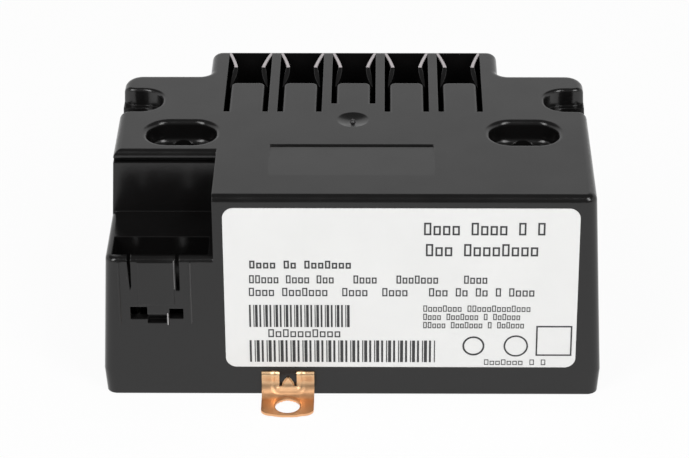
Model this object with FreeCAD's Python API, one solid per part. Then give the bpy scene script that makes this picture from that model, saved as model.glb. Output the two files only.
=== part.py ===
# Ignition transformer for an oil or gas burner, potted in a one-piece black housing.
# Millimetres. The origin is midway between the two screw slots, on the base plane.
# X runs to the right, Y to the rear, Z up. The plug notch is at the front left.
import FreeCAD, Part
import math
import os

V = FreeCAD.Vector

# Housing, outside
HEIGHT = 44.8
HALF_WIDTH = 50.35
FRONT_Y = -28.4
MAIN_REAR_Y = 27.55
BACK_Y = 39.1
BACK_HALF_WIDTH = 31.0
END_DRAFT = 0.025
SIDE_DRAFT = 0.05
BACK_SIDE_DRAFT = 0.0134
CORNER_R = 2.2
REAR_CORNER_R = 3.7
WAIST_R = 2.3
TOP_EDGE_R = 1.5
SLOT_EDGE_R = 0.7
FOOT_HEIGHT = 5.0
FOOT_TUCK = 0.65
WALL = 2.0
ROOF = 2.2
THIN_WALL = 1.5
REACH = 80.0

# Screw slots through the housing
SCREW_INSET = 15.47
SEAT_LENGTH = 13.9
SEAT_WIDTH = 9.8
SEAT_CORNER_R = 4.4
SEAT_DEPTH = 4.8
SCREW_SLOT_WIDTH = 5.6
SCREW_SLOT_LENGTH = 8.6
RELIEF_WIDTH = 5.6
RELIEF_LENGTH = 9.4
RELIEF_DEPTH = 4.0
SEAT_RIM_R = 1.0
SEAT_FLOOR_R = 1.2

# Open slots in the two sides
SIDE_SLOT_Y = 14.62
SIDE_SLOT_WIDTH = 9.64
SIDE_SLOT_RUN = 10.65
SIDE_SLOT_DEPTH = 3.8
SIDE_SLOT_THROAT = 7.2
SIDE_SLOT_ROUND = 0.9
SIDE_MOUTH_R = 3.2
MOUTH_TURN = 0.8

# Notch for the mains plug, and its socket
NOTCH_WIDTH = 23.0
NOTCH_REAR_Y = -8.33
NOTCH_DEPTH = 13.8
NOTCH_LIP_R = 1.3
GROOVE_DROP = 1.5
GROOVE_HEIGHT = 1.1
GROOVE_DEPTH = 1.4
ARM_EDGE_R = 1.0
SOCKET_WALL = 2.85
SOCKET_LENGTH = 19.0
SOCKET_FRONT_Y = -25.9
SOCKET_REAR_Y = -18.72
SOCKET_FLOOR_Z = 12.0
CARRIER_HEIGHT = 4.0
BLADE_THICK = 0.8
BLADE_WIDTH = 2.8
BLADE_PITCH = 5.0
BLADE_DROP = 7.0
BLADE_FOOT_Z = 4.7

# Latch on the socket's front wall: X from the socket's middle, Z from the notch's floor
PANEL = (-4.5, 2.7, -10.4, -0.7)
PANEL_PROUD = 0.3
RAIL_LEFT = (-8.42, -8.08, -14.8, -0.7)
RAIL_RIGHT = (5.73, 6.07, -14.8, -0.7)
GAP_LEFT = (-6.6, -5.8, -7.2, 1.0)
GAP_LEFT_FOOT = (0.3, 1.0)
GAP_RIGHT = (3.1, 3.85, -7.2, 1.0)
WINDOW_LEFT = (-6.2, -2.8, -13.7, -10.9)
WINDOW_RIGHT = (1.6, 4.4, -13.6, -11.3)
SILL = (-2.8, 1.0, -14.6, -12.6)
SILL_DEPTH = 1.6
SILL_RIB = (1.3, 0.25, -15.0, -12.3)
LATCH_DEPTH = 0.5

# Bays for the high voltage leads
BAY_COUNT = 5
BAY_PITCH = 11.1
BAY_WIDTH = 9.2
SLIT = 1.0
BAY_FRONT_Y = 9.3
MIDDLE_BAY_FRONT_Y = 13.0
BAY_DEPTH = 17.8
BAY_BACK_WALL = 1.15
TONGUE_END_Y = 22.9
TONGUE_CORNER_R = 1.3
TONGUE_EDGE_R = 0.7

# Sprung lips in the bays, as (reach from the rib, Y) points
LIP_ROOT = (0.2, 23.4)
LIP_BOW = (1.5, 26.2)
LIP_TIP = (2.05, 30.2)
LIP_RETURN = (1.35, 33.6)
LIP_END_REACH = 0.45
LIP_GAP_ROOT = (0.6, 23.0)
LIP_GAP_BOW = (0.75, 26.4)
LIP_GAP_TIP = (1.35, 30.4)
LIP_GAP_RETURN = (0.8, 33.3)
LIP_GAP_END = (0.0, 36.3)
LIP_PAST_RIB = 0.5
LIP_SLOPE = 0.3

# High voltage sockets and their pins
SOCKET_BAY = 1
HV_Z = 14.0
HV_BORE_R = 4.5
HV_DEPTH = 16.0
PIN_R = 2.0
PIN_COLLAR_R = 2.4
PIN_COLLAR_PROUD = 0.3
PIN_TAIL = 3.75
PIN_REACH = 10.3
PIN_TIP_R = 1.2

# Recesses in the top face
BADGE_X = (-16.6, 16.4)
BADGE_REAR_Y = -5.2
BADGE_LENGTH = 13.0
BADGE_DEPTH = 0.3
GATE_Y = 5.75
GATE_R = 3.25
GATE_DEPTH = 0.5
GATE_NUB_R = 0.7
GATE_NUB_HEIGHT = 0.25

# Label on the front face
LABEL_LEFT_GAP = 2.01
LABEL_RIGHT_INSET = 5.42
LABEL_LOW_Z = 6.37
LABEL_TOP_GAP = 2.4
LABEL_R = 2.2
LABEL_THICK = 0.15
PRINT_THICK = 0.05

# Print on the label, from its left and lower edges
PRINT_BARS = ((4.9, 25.0, 9.3, 14.35, 0.17), (4.85, 42.45, 1.2, 6.15, 0.2))
PRINT_ROWS = ((39.75, 28.2, 2.4, (3, 5, 2)), (39.95, 24.7, 1.9, (2, 6)),
              (5.1, 22.1, 1.7, (4, 5, 5)), (5.05, 18.6, 1.9, (5, 3, 6, 4, 5)),
              (5.0, 16.0, 1.7, (3, 6, 4, 5, 3, 6)), (9.4, 6.9, 1.8, (8,)),
              (39.75, 12.4, 1.3, (8, 8)), (39.75, 10.5, 1.3, (5, 6, 3)),
              (39.75, 8.6, 1.3, (7, 4, 4)), (52.3, 0.5, 0.9, (5, 5)))
PRINT_RINGS = ((49.3, 4.8, 2.1, 1.7), (57.3, 4.8, 2.3, 1.95))
PRINT_SQUARE = (62.5, 69.3, 2.5, 8.9, 0.3)
ROW_PITCH = 0.86
ROW_LOW = 0.74
ROW_FILL = 0.7

# Earth tab
TAB_INSET = 14.45
TAB_WIDTH = 10.6
TAB_THICK = 0.5
TAB_TOP_Z = 5.2
TAB_BEND_R = 2.2
TAB_REACH = 8.9
TAB_END_R = 2.3
TAB_END_BOW = 0.5
TAB_WINDOW_WIDTH = 3.5
TAB_WINDOW_Z = 2.0
TOOTH_WIDTH = 2.5
TOOTH_TIP_Z = 3.9
EARTH_HOLE_R = 2.5
EARTH_HOLE_OUT = 5.5
ANCHOR_LENGTH = 7.0

# Resin and circuit board
RESIN_RECESS = 0.8
BOARD_Z = 6.0
BOARD_THICK = 1.6
BOARD_SIDE_GAP = 6.88
BOARD_FRONT_Y = -24.5
BOARD_REAR_Y = 33.5
ARM_INSET = 4.45
ARM_REAR_Y = -9.5
FIT = 0.15

# High voltage transformer
CORE_Y = -5.0
CORE_SIDE_GAP = 14.48
CORE_TOP_GAP = 0.2
CORE_SIDE = 8.0
LEG_R = 4.0
TUBE_WALL = 0.8
PRIMARY_BUILD = 1.2
FLANGE_THICK = 1.2
FLANGE_LOW_GAP = 0.1
FLANGE_TOP_GAP = 1.5
SPOOL_END_GAP = 6.4
CHAMBERS = 3
SECONDARY_FILL = 0.6
CLAMP_THICK = 0.4
CLAMP_WIDTH = 6.0

# Parts on the board
SMOOTHING_R = 7.0
SMOOTHING_HEADROOM = 8.0
SMOOTHING_INSET = 12.95
SMOOTHING_Y = -17.2
SUPPRESSION_SIZE = (6.0, 12.0, 12.0)
SUPPRESSION_GAP = 11.3
SUPPRESSION_Y = -17.5
RESONANCE_SIZE = (8.0, 18.0, 14.0)
RESONANCE_Y = 20.0
SPREADER_GAP = 7.98
SPREADER_Y = -0.4
SPREADER_THICK = 1.5
SPREADER_WIDTH = 16.0
SPREADER_HEADROOM = 6.0
TRANSISTOR_THICK = 3.6
TRANSISTOR_SIZE = (14.0, 18.0)
TRANSISTOR_LIFT = 4.0
LEG_SIZE = 0.8
LEG_PITCH = 4.0
SCREW_R = 1.5
SCREW_HEAD_R = 2.8
SCREW_HEAD_HEIGHT = 1.8
DIODE_R = 1.3
DIODE_LENGTH = 5.2
DIODE_PITCH = 3.9
DIODE_Y = 13.5
WIRE_R = 0.35
RESISTOR_R = 1.1
RESISTOR_LENGTH = 4.6
RESISTOR_PITCH = 5.0
RESISTOR_COUNT = 5
RESISTOR_Y = -21.0
WIRE_SPAN = 1.2
FUSE_R = 2.6
FUSE_LENGTH = 9.0
FUSE_Y = 30.6
VARISTOR_R = 5.0
VARISTOR_THICK = 4.0
VARISTOR_Y = 23.5
CHOKE_Y = 13.5
CHOKE_R = 4.2
CHOKE_HEIGHT = 12.0
CHOKE_CORE_R = 2.2
CHOKE_RIM = 1.4
BOARD_PART_INSET = 5.0
LEAD_R = 1.2
LEAD_BEND = 3.0
EARTH_LEAD_R = 0.8

# Values worked out from those above
BOARD_TOP = BOARD_Z + BOARD_THICK
INNER_TOP = HEIGHT - ROOF
SCREW_X = HALF_WIDTH - SCREW_INSET
SIDE_SLOT_INNER_X = HALF_WIDTH - SIDE_SLOT_RUN
NOTCH_X = NOTCH_WIDTH - HALF_WIDTH
NOTCH_FLOOR_Z = HEIGHT - NOTCH_DEPTH
TAB_X = NOTCH_X + TAB_INSET
SOCKET_LEFT_X = SOCKET_WALL - HALF_WIDTH
SOCKET_RIGHT_X = SOCKET_LEFT_X + SOCKET_LENGTH
BLADE_TOP_Z = NOTCH_FLOOR_Z - BLADE_DROP
BAY_FLOOR_Z = HEIGHT - BAY_DEPTH
LABEL_X = (NOTCH_X + LABEL_LEFT_GAP, HALF_WIDTH - LABEL_RIGHT_INSET)
LABEL_Z = (LABEL_LOW_Z, HEIGHT - LABEL_TOP_GAP)
TOP_BACK_Y = BACK_Y - END_DRAFT * HEIGHT
BAY_REAR_Y = TOP_BACK_Y - BAY_BACK_WALL
TONGUE_HALF = BAY_WIDTH / 2 - SLIT
BAYS_HALF = (BAY_COUNT // 2) * BAY_PITCH + BAY_WIDTH / 2
HV_X = SOCKET_BAY * BAY_PITCH
HV_END_Y = BACK_Y - END_DRAFT * HV_Z - HV_DEPTH
PIN_TAIL_Y = HV_END_Y - PIN_TAIL
PIN_TIP_Y = HV_END_Y + PIN_REACH
SEAT_Z = HEIGHT - SEAT_DEPTH
BLADE_Y = (SOCKET_FRONT_Y + SOCKET_REAR_Y) / 2
BLADE_MID_X = (SOCKET_LEFT_X + SOCKET_RIGHT_X) / 2
TUBE_R = LEG_R + FIT + TUBE_WALL
PRIMARY_R = TUBE_R + PRIMARY_BUILD
SPOOL_BORE = PRIMARY_R + FIT
SPOOL_R = SPOOL_BORE + TUBE_WALL
CORE_HALF = SCREW_X - CORE_SIDE_GAP
SPOOL_HALF = CORE_HALF - SPOOL_END_GAP
BACK_LEG_Z = INNER_TOP - CORE_SIDE / 2 - CLAMP_THICK - CORE_TOP_GAP
FLANGE_ROOM = BACK_LEG_Z - CORE_SIDE / 2 - BOARD_TOP
FLANGE_HALF = (FLANGE_ROOM - FLANGE_LOW_GAP - FLANGE_TOP_GAP) / 2
CORE_Z = BOARD_TOP + FLANGE_HALF + FLANGE_LOW_GAP
SECONDARY_R = SPOOL_R + SECONDARY_FILL * (FLANGE_HALF - SPOOL_R)
BOARD_HALF = SCREW_X - BOARD_SIDE_GAP
BOARD_PART_X = BOARD_HALF - BOARD_PART_INSET
ARM_HALF = HALF_WIDTH - ARM_INSET
SMOOTHING_AT = (HALF_WIDTH - SMOOTHING_INSET, SMOOTHING_Y)
SMOOTHING_HEIGHT = INNER_TOP - BOARD_TOP - SMOOTHING_HEADROOM
SUPPRESSION_AT = (SMOOTHING_AT[0] - SUPPRESSION_GAP, SUPPRESSION_Y)
RESONANCE_AT = (BOARD_PART_X, RESONANCE_Y)
SPREADER_X = SCREW_X - SPREADER_GAP
SPREADER_SIZE = (SPREADER_WIDTH, INNER_TOP - BOARD_TOP - SPREADER_HEADROOM)
FUSE_AT = (-BOARD_PART_X, FUSE_Y)
VARISTOR_AT = (-BOARD_PART_X, VARISTOR_Y)
CHOKE_AT = (-BOARD_PART_X, CHOKE_Y)


def box(x0, x1, y0, y1, z0, z1):
    """A block between two corners."""
    return Part.makeBox(x1 - x0, y1 - y0, z1 - z0, V(x0, y0, z0))


def rod(radius, start, end):
    """A round bar from one point to another."""
    axis = end - start
    return Part.makeCylinder(radius, axis.Length, start, axis)


def join(shapes):
    """All the shapes as one."""
    whole = shapes[0]
    for shape in shapes[1:]:
        whole = whole.fuse(shape)
    return whole.removeSplitter()


def rounded_wire(points, radii, z):
    """A closed outline of straight runs whose corners are tangent arcs."""
    count = len(points)
    starts = []
    middles = []
    ends = []
    for i in range(count):
        here = V(points[i][0], points[i][1], z)
        back = V(points[i - 1][0], points[i - 1][1], z) - here
        ahead = V(points[(i + 1) % count][0], points[(i + 1) % count][1], z) - here
        back.normalize()
        ahead.normalize()
        half = back.getAngle(ahead) / 2
        bisector = back + ahead
        bisector.normalize()
        centre = here + bisector * (radii[i] / math.sin(half))
        starts.append(here + back * (radii[i] / math.tan(half)))
        middles.append(centre - bisector * radii[i])
        ends.append(here + ahead * (radii[i] / math.tan(half)))
    edges = []
    for i in range(count):
        if radii[i] > 0:
            edges.append(Part.Arc(starts[i], middles[i], ends[i]).toShape())
        following = starts[(i + 1) % count]
        if (following - ends[i]).Length > 1e-6:
            edges.append(Part.LineSegment(ends[i], following).toShape())
    return Part.Wire(edges)


def prism(points, radii, z0, z1):
    """An upright block with a rounded outline."""
    return Part.Face(rounded_wire(points, radii, z0)).extrude(V(0, 0, z1 - z0))


def slot_block(x, y, length, width, radius, z0, z1):
    """An upright block with a rounded rectangular outline about a centre."""
    half_x = length / 2
    half_y = width / 2
    corners = [(x - half_x, y - half_y), (x + half_x, y - half_y),
               (x + half_x, y + half_y), (x - half_x, y + half_y)]
    return prism(corners, [radius] * 4, z0, z1)


def outline(z, inset, tuck=0):
    """The housing's plan outline at a height, moved inwards by a wall, its ends also by a tuck."""
    side = HALF_WIDTH - SIDE_DRAFT * z - inset - tuck
    back_side = BACK_HALF_WIDTH - BACK_SIDE_DRAFT * z - inset
    front = FRONT_Y + END_DRAFT * z + inset
    rear = MAIN_REAR_Y - END_DRAFT * z - inset
    back = BACK_Y - END_DRAFT * z - inset
    outer = CORNER_R - inset / 2
    rear_outer = REAR_CORNER_R - inset / 2
    waist = WAIST_R + inset / 2
    points = [(-side, front), (side, front), (side, rear), (back_side, rear),
              (back_side, back), (-back_side, back), (-back_side, rear), (-side, rear)]
    radii = [outer, outer, rear_outer, waist, outer, outer, waist, rear_outer]
    return rounded_wire(points, radii, z)


def drafted_body(inset, low, top):
    """A solid with the housing's outline, drafted from one height to another."""
    return Part.makeLoft([outline(low, inset), outline(top, inset)], True, True)


def tucked_foot():
    """The foot of the housing, whose two ends lean inwards below the mould's parting line."""
    return Part.makeLoft([outline(0, 0, FOOT_TUCK), outline(FOOT_HEIGHT, 0)], True, True)


def edges_within(shape, x0, x1, y0, y1, z0, z1):
    """The edges that lie wholly inside a block of space."""
    space = FreeCAD.BoundBox(x0, y0, z0, x1, y1, z1)
    return [edge for edge in shape.Edges if space.isInside(edge.BoundBox)]


def top_edges(shape, x0, x1, y0, y1):
    """The edges in the top face inside a rectangle."""
    return edges_within(shape, x0, x1, y0, y1, HEIGHT - 0.01, HEIGHT + 0.01)


def front_at(z):
    """Where the front face is at a height."""
    return FRONT_Y + END_DRAFT * z


def on_front(shape):
    """Leans a piece, made upright against y = 0, onto the front face."""
    shape.rotate(V(0, 0, 0), V(1, 0, 0), -math.degrees(math.atan(END_DRAFT)))
    shape.translate(V(0, FRONT_Y, 0))
    return shape


def bay_centres():
    """The middles of the bays across the housing."""
    first = -(BAY_COUNT // 2)
    return [(first + i) * BAY_PITCH for i in range(BAY_COUNT)]


def bay_front(x):
    """Where a bay's slits start: the middle one is shorter."""
    return MIDDLE_BAY_FRONT_Y if abs(x) < 1 else BAY_FRONT_Y


def lip_outline(x, side, points, rear):
    """A closed bowed outline from two arcs that starts and ends past the rib's face."""
    wall = x + side * BAY_WIDTH / 2
    root, bow, tip, back, foot = [V(wall - side * reach, y, BAY_FLOOR_Z) for reach, y in points]
    past = wall + side * LIP_PAST_RIB
    corners = [foot, V(wall, rear, BAY_FLOOR_Z), V(past, rear, BAY_FLOOR_Z),
               V(past, root.y, BAY_FLOOR_Z), root]
    edges = [Part.Arc(root, bow, tip).toShape(), Part.Arc(tip, back, foot).toShape()]
    for first, second in zip(corners, corners[1:]):
        if (second - first).Length > 1e-6:
            edges.append(Part.LineSegment(first, second).toShape())
    return Part.Face(Part.Wire(edges)).extrude(V(0, 0, HEIGHT - BAY_FLOOR_Z))


def lip(x, side):
    """A thin bowed lip sprung from the back of a bay. Its front arm slopes down from its tip."""
    points = [LIP_ROOT, LIP_BOW, LIP_TIP, LIP_RETURN, (LIP_END_REACH, BAY_REAR_Y)]
    body = lip_outline(x, side, points, BAY_REAR_Y)
    points = [LIP_GAP_ROOT, LIP_GAP_BOW, LIP_GAP_TIP, LIP_GAP_RETURN, LIP_GAP_END]
    body = body.cut(lip_outline(x, side, points, LIP_GAP_END[1]))
    fall = LIP_SLOPE * (LIP_TIP[1] - TONGUE_END_Y)
    left = x - BAY_WIDTH
    slope = Part.makePolygon([V(left, LIP_TIP[1], HEIGHT), V(left, LIP_TIP[1], REACH),
                              V(left, TONGUE_END_Y, REACH), V(left, TONGUE_END_Y, HEIGHT - fall),
                              V(left, LIP_TIP[1], HEIGHT)])
    return body.cut(Part.Face(slope).extrude(V(2 * BAY_WIDTH, 0, 0)))


def tongue(x):
    """The finger in the middle of a bay, with a rounded end."""
    half = TONGUE_HALF
    corners = [(x - half, bay_front(x) - 1), (x + half, bay_front(x) - 1),
               (x + half, TONGUE_END_Y), (x - half, TONGUE_END_Y)]
    radii = [0, 0, TONGUE_CORNER_R, TONGUE_CORNER_R]
    finger = prism(corners, radii, BAY_FLOOR_Z, HEIGHT)
    end = [edge for edge in finger.Edges
           if edge.BoundBox.ZMin > HEIGHT - 0.01 and edge.BoundBox.YMin > TONGUE_END_Y - 2]
    return finger.makeFillet(TONGUE_EDGE_R, end)


def bay_space(x):
    """The open space of one bay, round its tongue and lips."""
    space = box(x - BAY_WIDTH / 2, x + BAY_WIDTH / 2, bay_front(x), BAY_REAR_Y, BAY_FLOOR_Z, REACH)
    space = space.cut(tongue(x))
    for side in (-1, 1):
        space = space.cut(lip(x, side))
    return space


def side_slot(side):
    """One open slot in the side: a wide seat with a rounded mouth, over a narrower throat."""
    spaces = []
    for width, floor in ((SIDE_SLOT_WIDTH, HEIGHT - SIDE_SLOT_DEPTH), (SIDE_SLOT_THROAT, -1)):
        inner = SIDE_SLOT_INNER_X + (SIDE_SLOT_WIDTH - width) / 2
        low = SIDE_SLOT_Y - width / 2
        high = SIDE_SLOT_Y + width / 2
        corners = [(side * inner, low), (side * REACH, low),
                   (side * REACH, high), (side * inner, high)]
        radius = width / 2 * SIDE_SLOT_ROUND
        spaces.append(prism(corners, [radius, 0, 0, radius], floor, REACH))
    face = HALF_WIDTH - SIDE_DRAFT * (HEIGHT - SIDE_SLOT_DEPTH / 2)
    turn = side * (face - SIDE_MOUTH_R * MOUTH_TURN)
    outer = side * (face + WALL)
    floor = HEIGHT - SIDE_SLOT_DEPTH
    for end in (-1, 1):
        edge = SIDE_SLOT_Y + end * SIDE_SLOT_WIDTH / 2
        deep = edge + end * SIDE_MOUTH_R
        corner = box(min(turn, outer), max(turn, outer), min(edge, deep), max(edge, deep), floor, REACH)
        spaces.append(corner.cut(rod(SIDE_MOUTH_R, V(turn, deep, floor), V(turn, deep, REACH))))
    return spaces


def screw_slot(side):
    """One screw slot: a wide seat, a cross relief in it, and a slot right through."""
    x = side * SCREW_X
    seat = slot_block(x, 0, SEAT_LENGTH, SEAT_WIDTH, SEAT_CORNER_R, SEAT_Z, REACH)
    seat = seat.makeFillet(SEAT_FLOOR_R, edges_within(seat, -REACH, REACH, -REACH, REACH,
                                                      SEAT_Z - 0.01, SEAT_Z + 0.01))
    relief = slot_block(x, 0, RELIEF_WIDTH, RELIEF_LENGTH, RELIEF_WIDTH * 0.45,
                        SEAT_Z - RELIEF_DEPTH, REACH)
    through = slot_block(x, 0, SCREW_SLOT_LENGTH, SCREW_SLOT_WIDTH,
                         SCREW_SLOT_WIDTH / 2, -1, REACH)
    return [seat, relief, through]


def notch_groove():
    """A square groove under the notch's lip."""
    top = HEIGHT - GROOVE_DROP
    return box(-REACH, NOTCH_X, NOTCH_REAR_Y - GROOVE_DEPTH, NOTCH_REAR_Y + GROOVE_DEPTH,
               top - GROOVE_HEIGHT, top)


def notch_lip():
    """The space outside the rounded edge between the top face and the notch's rear wall."""
    y = NOTCH_REAR_Y + NOTCH_LIP_R
    z = HEIGHT - NOTCH_LIP_R
    middle = NOTCH_LIP_R * math.sqrt(0.5)
    low = V(-REACH, NOTCH_REAR_Y, z)
    high = V(-REACH, y, HEIGHT)
    corners = [high, V(-REACH, y, REACH), V(-REACH, NOTCH_REAR_Y - 1, REACH),
               V(-REACH, NOTCH_REAR_Y - 1, z), low]
    edges = [Part.Arc(low, V(-REACH, y - middle, z + middle), high).toShape()]
    for first, second in zip(corners, corners[1:]):
        edges.append(Part.LineSegment(first, second).toShape())
    return Part.Face(Part.Wire(edges)).extrude(V(REACH + NOTCH_X, 0, 0))


def plug_notch():
    """The open corner above the mains socket."""
    return box(-REACH, NOTCH_X, -REACH, NOTCH_REAR_Y, NOTCH_FLOOR_Z, REACH)


def latch_box(place, y0, y1):
    """A block placed from the socket's middle and the notch's floor."""
    x0, x1, z0, z1 = place
    return box(BLADE_MID_X + x0, BLADE_MID_X + x1, y0, y1, NOTCH_FLOOR_Z + z0, NOTCH_FLOOR_Z + z1)


def latch_wedge(depth):
    """The left gap, which narrows to a point at its foot."""
    x0, x1, z0, z1 = GAP_LEFT
    turn, rise = GAP_LEFT_FOOT
    outline_points = [(x0, z1), (x1, z1), (x1, z0 + rise), (x1 - turn, z0), (x0, z1)]
    face = Part.Face(Part.makePolygon([V(BLADE_MID_X + x, -REACH, NOTCH_FLOOR_Z + z)
                                       for x, z in outline_points]))
    return face.extrude(V(0, REACH + depth, 0))


def latch_cuts():
    """Gaps, windows and sill in the socket's front wall."""
    deep = SOCKET_FRONT_Y + LATCH_DEPTH
    cuts = [latch_box(place, -REACH, deep) for place in (GAP_RIGHT, WINDOW_LEFT, WINDOW_RIGHT)]
    cuts.append(latch_wedge(deep))
    sill_y = front_at(NOTCH_FLOOR_Z + SILL[2]) + SILL_DEPTH
    cuts.append(latch_box(SILL, -REACH, sill_y))
    return cuts


def latch_rails():
    """The raised panel, guide rails and half-round rib on the socket's front wall."""
    pieces = [on_front(latch_box(place, -PANEL_PROUD, 0)) for place in (PANEL, RAIL_LEFT, RAIL_RIGHT)]
    place, radius, low, high = SILL_RIB
    x = BLADE_MID_X + place
    rib = rod(radius, V(x, 0, NOTCH_FLOOR_Z + low), V(x, 0, NOTCH_FLOOR_Z + high))
    return pieces + [on_front(rib)]


def badge_recess():
    """A shallow recess in the top face that runs out towards the front."""
    wedge = Part.makePolygon([V(BADGE_X[0], BADGE_REAR_Y, HEIGHT - BADGE_DEPTH),
                              V(BADGE_X[0], BADGE_REAR_Y, HEIGHT + 1),
                              V(BADGE_X[0], BADGE_REAR_Y - BADGE_LENGTH, HEIGHT + 1),
                              V(BADGE_X[0], BADGE_REAR_Y - BADGE_LENGTH, HEIGHT),
                              V(BADGE_X[0], BADGE_REAR_Y, HEIGHT - BADGE_DEPTH)])
    return Part.Face(wedge).extrude(V(BADGE_X[1] - BADGE_X[0], 0, 0))


def gate_dimple():
    """The dished mark of the moulding gate, with a small nub left in it."""
    ball_r = (GATE_R ** 2 + GATE_DEPTH ** 2) / (2 * GATE_DEPTH)
    dish = Part.makeSphere(ball_r, V(0, GATE_Y, HEIGHT + ball_r - GATE_DEPTH))
    floor = HEIGHT - GATE_DEPTH
    nub = Part.makeCone(GATE_NUB_R, GATE_NUB_R / 2, 2 * GATE_NUB_HEIGHT, V(0, GATE_Y, floor - 0.05))
    return dish.cut(nub)


def clip_anchors():
    """The two ends of the earth tab that pass through the front wall."""
    pieces = []
    for side in (-1, 1):
        inner = TAB_X + side * TAB_WINDOW_WIDTH / 2
        outer = TAB_X + side * TAB_WIDTH / 2
        pieces.append(box(min(inner, outer), max(inner, outer), front_at(TAB_TOP_Z) - TAB_THICK,
                          FRONT_Y + ANCHOR_LENGTH, TAB_TOP_Z - TAB_THICK, TAB_TOP_Z))
    return pieces


def solid_regions():
    """Everything inside the walls that is moulded solid or open to the outside."""
    wall = THIN_WALL
    top = REACH
    regions = [box(-REACH, NOTCH_X + WALL, -REACH, NOTCH_REAR_Y + WALL, NOTCH_FLOOR_Z - WALL, top)]
    regions.append(box(-REACH, SOCKET_RIGHT_X + wall, -REACH, SOCKET_REAR_Y + wall,
                       SOCKET_FLOOR_Z - CARRIER_HEIGHT, NOTCH_FLOOR_Z))
    for side in (-1, 1):
        x = side * SCREW_X
        regions.append(slot_block(x, 0, SEAT_LENGTH + 2 * wall, SEAT_WIDTH + 2 * wall,
                                  SEAT_CORNER_R + wall, SEAT_Z - WALL, top))
        regions.append(slot_block(x, 0, RELIEF_WIDTH + 2 * wall, RELIEF_LENGTH + 2 * wall,
                                  RELIEF_WIDTH / 2, SEAT_Z - RELIEF_DEPTH - WALL, top))
        regions.append(slot_block(x, 0, SCREW_SLOT_LENGTH + 2 * WALL, SCREW_SLOT_WIDTH + 2 * WALL,
                                  SCREW_SLOT_WIDTH / 2, -1, top))
        inner = side * (SIDE_SLOT_INNER_X - wall)
        outer = side * REACH
        regions.append(box(min(inner, outer), max(inner, outer),
                           SIDE_SLOT_Y - SIDE_SLOT_WIDTH / 2 - wall,
                           SIDE_SLOT_Y + SIDE_SLOT_WIDTH / 2 + wall, -1, top))
        regions.append(rod(HV_BORE_R + wall, V(side * HV_X, HV_END_Y - wall, HV_Z),
                           V(side * HV_X, REACH, HV_Z)))
    under = BAY_FLOOR_Z - wall
    regions.append(box(-BAYS_HALF - wall, BAYS_HALF + wall, BAY_FRONT_Y - wall, REACH, under, top))
    regions.append(box(-REACH, REACH, MAIN_REAR_Y - 2 * WALL, REACH, under, top))
    return regions


def make_cavity():
    """The space inside the housing that the resin and the parts fill."""
    space = drafted_body(WALL, 0, INNER_TOP)
    space = space.cut(solid_regions())
    fingers = []
    for x in bay_centres():
        hollow = TONGUE_HALF - THIN_WALL
        fingers.append(box(x - hollow, x + hollow, BAY_FRONT_Y - WALL, TONGUE_END_Y - THIN_WALL,
                           BAY_FLOOR_Z - WALL, INNER_TOP))
    return space.fuse(fingers).removeSplitter()


def outer_edges(body, z):
    """The edges at a height that lie on the outside of the front left corner."""
    outer = -HALF_WIDTH + SIDE_DRAFT * z + CORNER_R
    front = front_at(z) + CORNER_R
    level = edges_within(body, -REACH, NOTCH_X + 0.1, -REACH, NOTCH_REAR_Y + 0.1, z - 0.01, z + 0.01)
    return [edge for edge in level
            if edge.BoundBox.XMax < outer + 0.1 or edge.BoundBox.YMax < front + 0.1]


def housing_block():
    """The housing's outside: drafted block, notch, side slots and screw slots, edges rounded."""
    body = drafted_body(0, FOOT_HEIGHT, HEIGHT)
    body = body.makeFillet(TOP_EDGE_R, top_edges(body, -REACH, REACH, -REACH, REACH))
    body = body.fuse(tucked_foot())
    body = body.cut([plug_notch()])
    body = body.makeFillet(ARM_EDGE_R, outer_edges(body, NOTCH_FLOOR_Z))
    body = body.cut([notch_lip()])
    body = body.cut(side_slot(-1) + side_slot(1) + screw_slot(-1) + screw_slot(1))
    seats = []
    for side in (-1, 1):
        seats += top_edges(body, side * SCREW_X - SEAT_LENGTH * 0.6,
                           side * SCREW_X + SEAT_LENGTH * 0.6, -SEAT_WIDTH * 0.6, SEAT_WIDTH * 0.6)
    body = body.makeFillet(SEAT_RIM_R, seats)
    mouths = []
    for side in (-1, 1):
        inner = side * (SIDE_SLOT_INNER_X - 1)
        outer = side * REACH
        mouths += top_edges(body, min(inner, outer), max(inner, outer),
                            SIDE_SLOT_Y - SIDE_SLOT_WIDTH, SIDE_SLOT_Y + SIDE_SLOT_WIDTH)
    return body.makeFillet(SLOT_EDGE_R, mouths)


def make_housing(cavity):
    """The moulded housing."""
    body = housing_block().fuse(latch_rails())
    cuts = [bay_space(x) for x in bay_centres()]
    for side in (-1, 1):
        start = V(side * HV_X, HV_END_Y, HV_Z)
        cuts.append(rod(HV_BORE_R, start, V(side * HV_X, REACH, HV_Z)))
        tail = V(side * HV_X, PIN_TAIL_Y, HV_Z)
        cuts.append(rod(PIN_COLLAR_R, tail, start))
    cuts += [badge_recess(), gate_dimple(), cavity]
    cuts.append(box(SOCKET_LEFT_X, SOCKET_RIGHT_X, SOCKET_FRONT_Y, SOCKET_REAR_Y,
                    SOCKET_FLOOR_Z - CARRIER_HEIGHT - 1, REACH))
    cuts += latch_cuts() + clip_anchors()
    cuts.append(notch_groove())
    return body.cut(cuts)


def make_label():
    """The label film, flat on the front face."""
    lean = math.sqrt(1 + END_DRAFT ** 2)
    corners = [(LABEL_X[0], LABEL_Z[0] * lean), (LABEL_X[1], LABEL_Z[0] * lean),
               (LABEL_X[1], LABEL_Z[1] * lean), (LABEL_X[0], LABEL_Z[1] * lean)]
    film = prism(corners, [LABEL_R] * 4, 0, LABEL_THICK)
    film.rotate(V(0, 0, 0), V(1, 0, 0), 90)
    return on_front(film)


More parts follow.
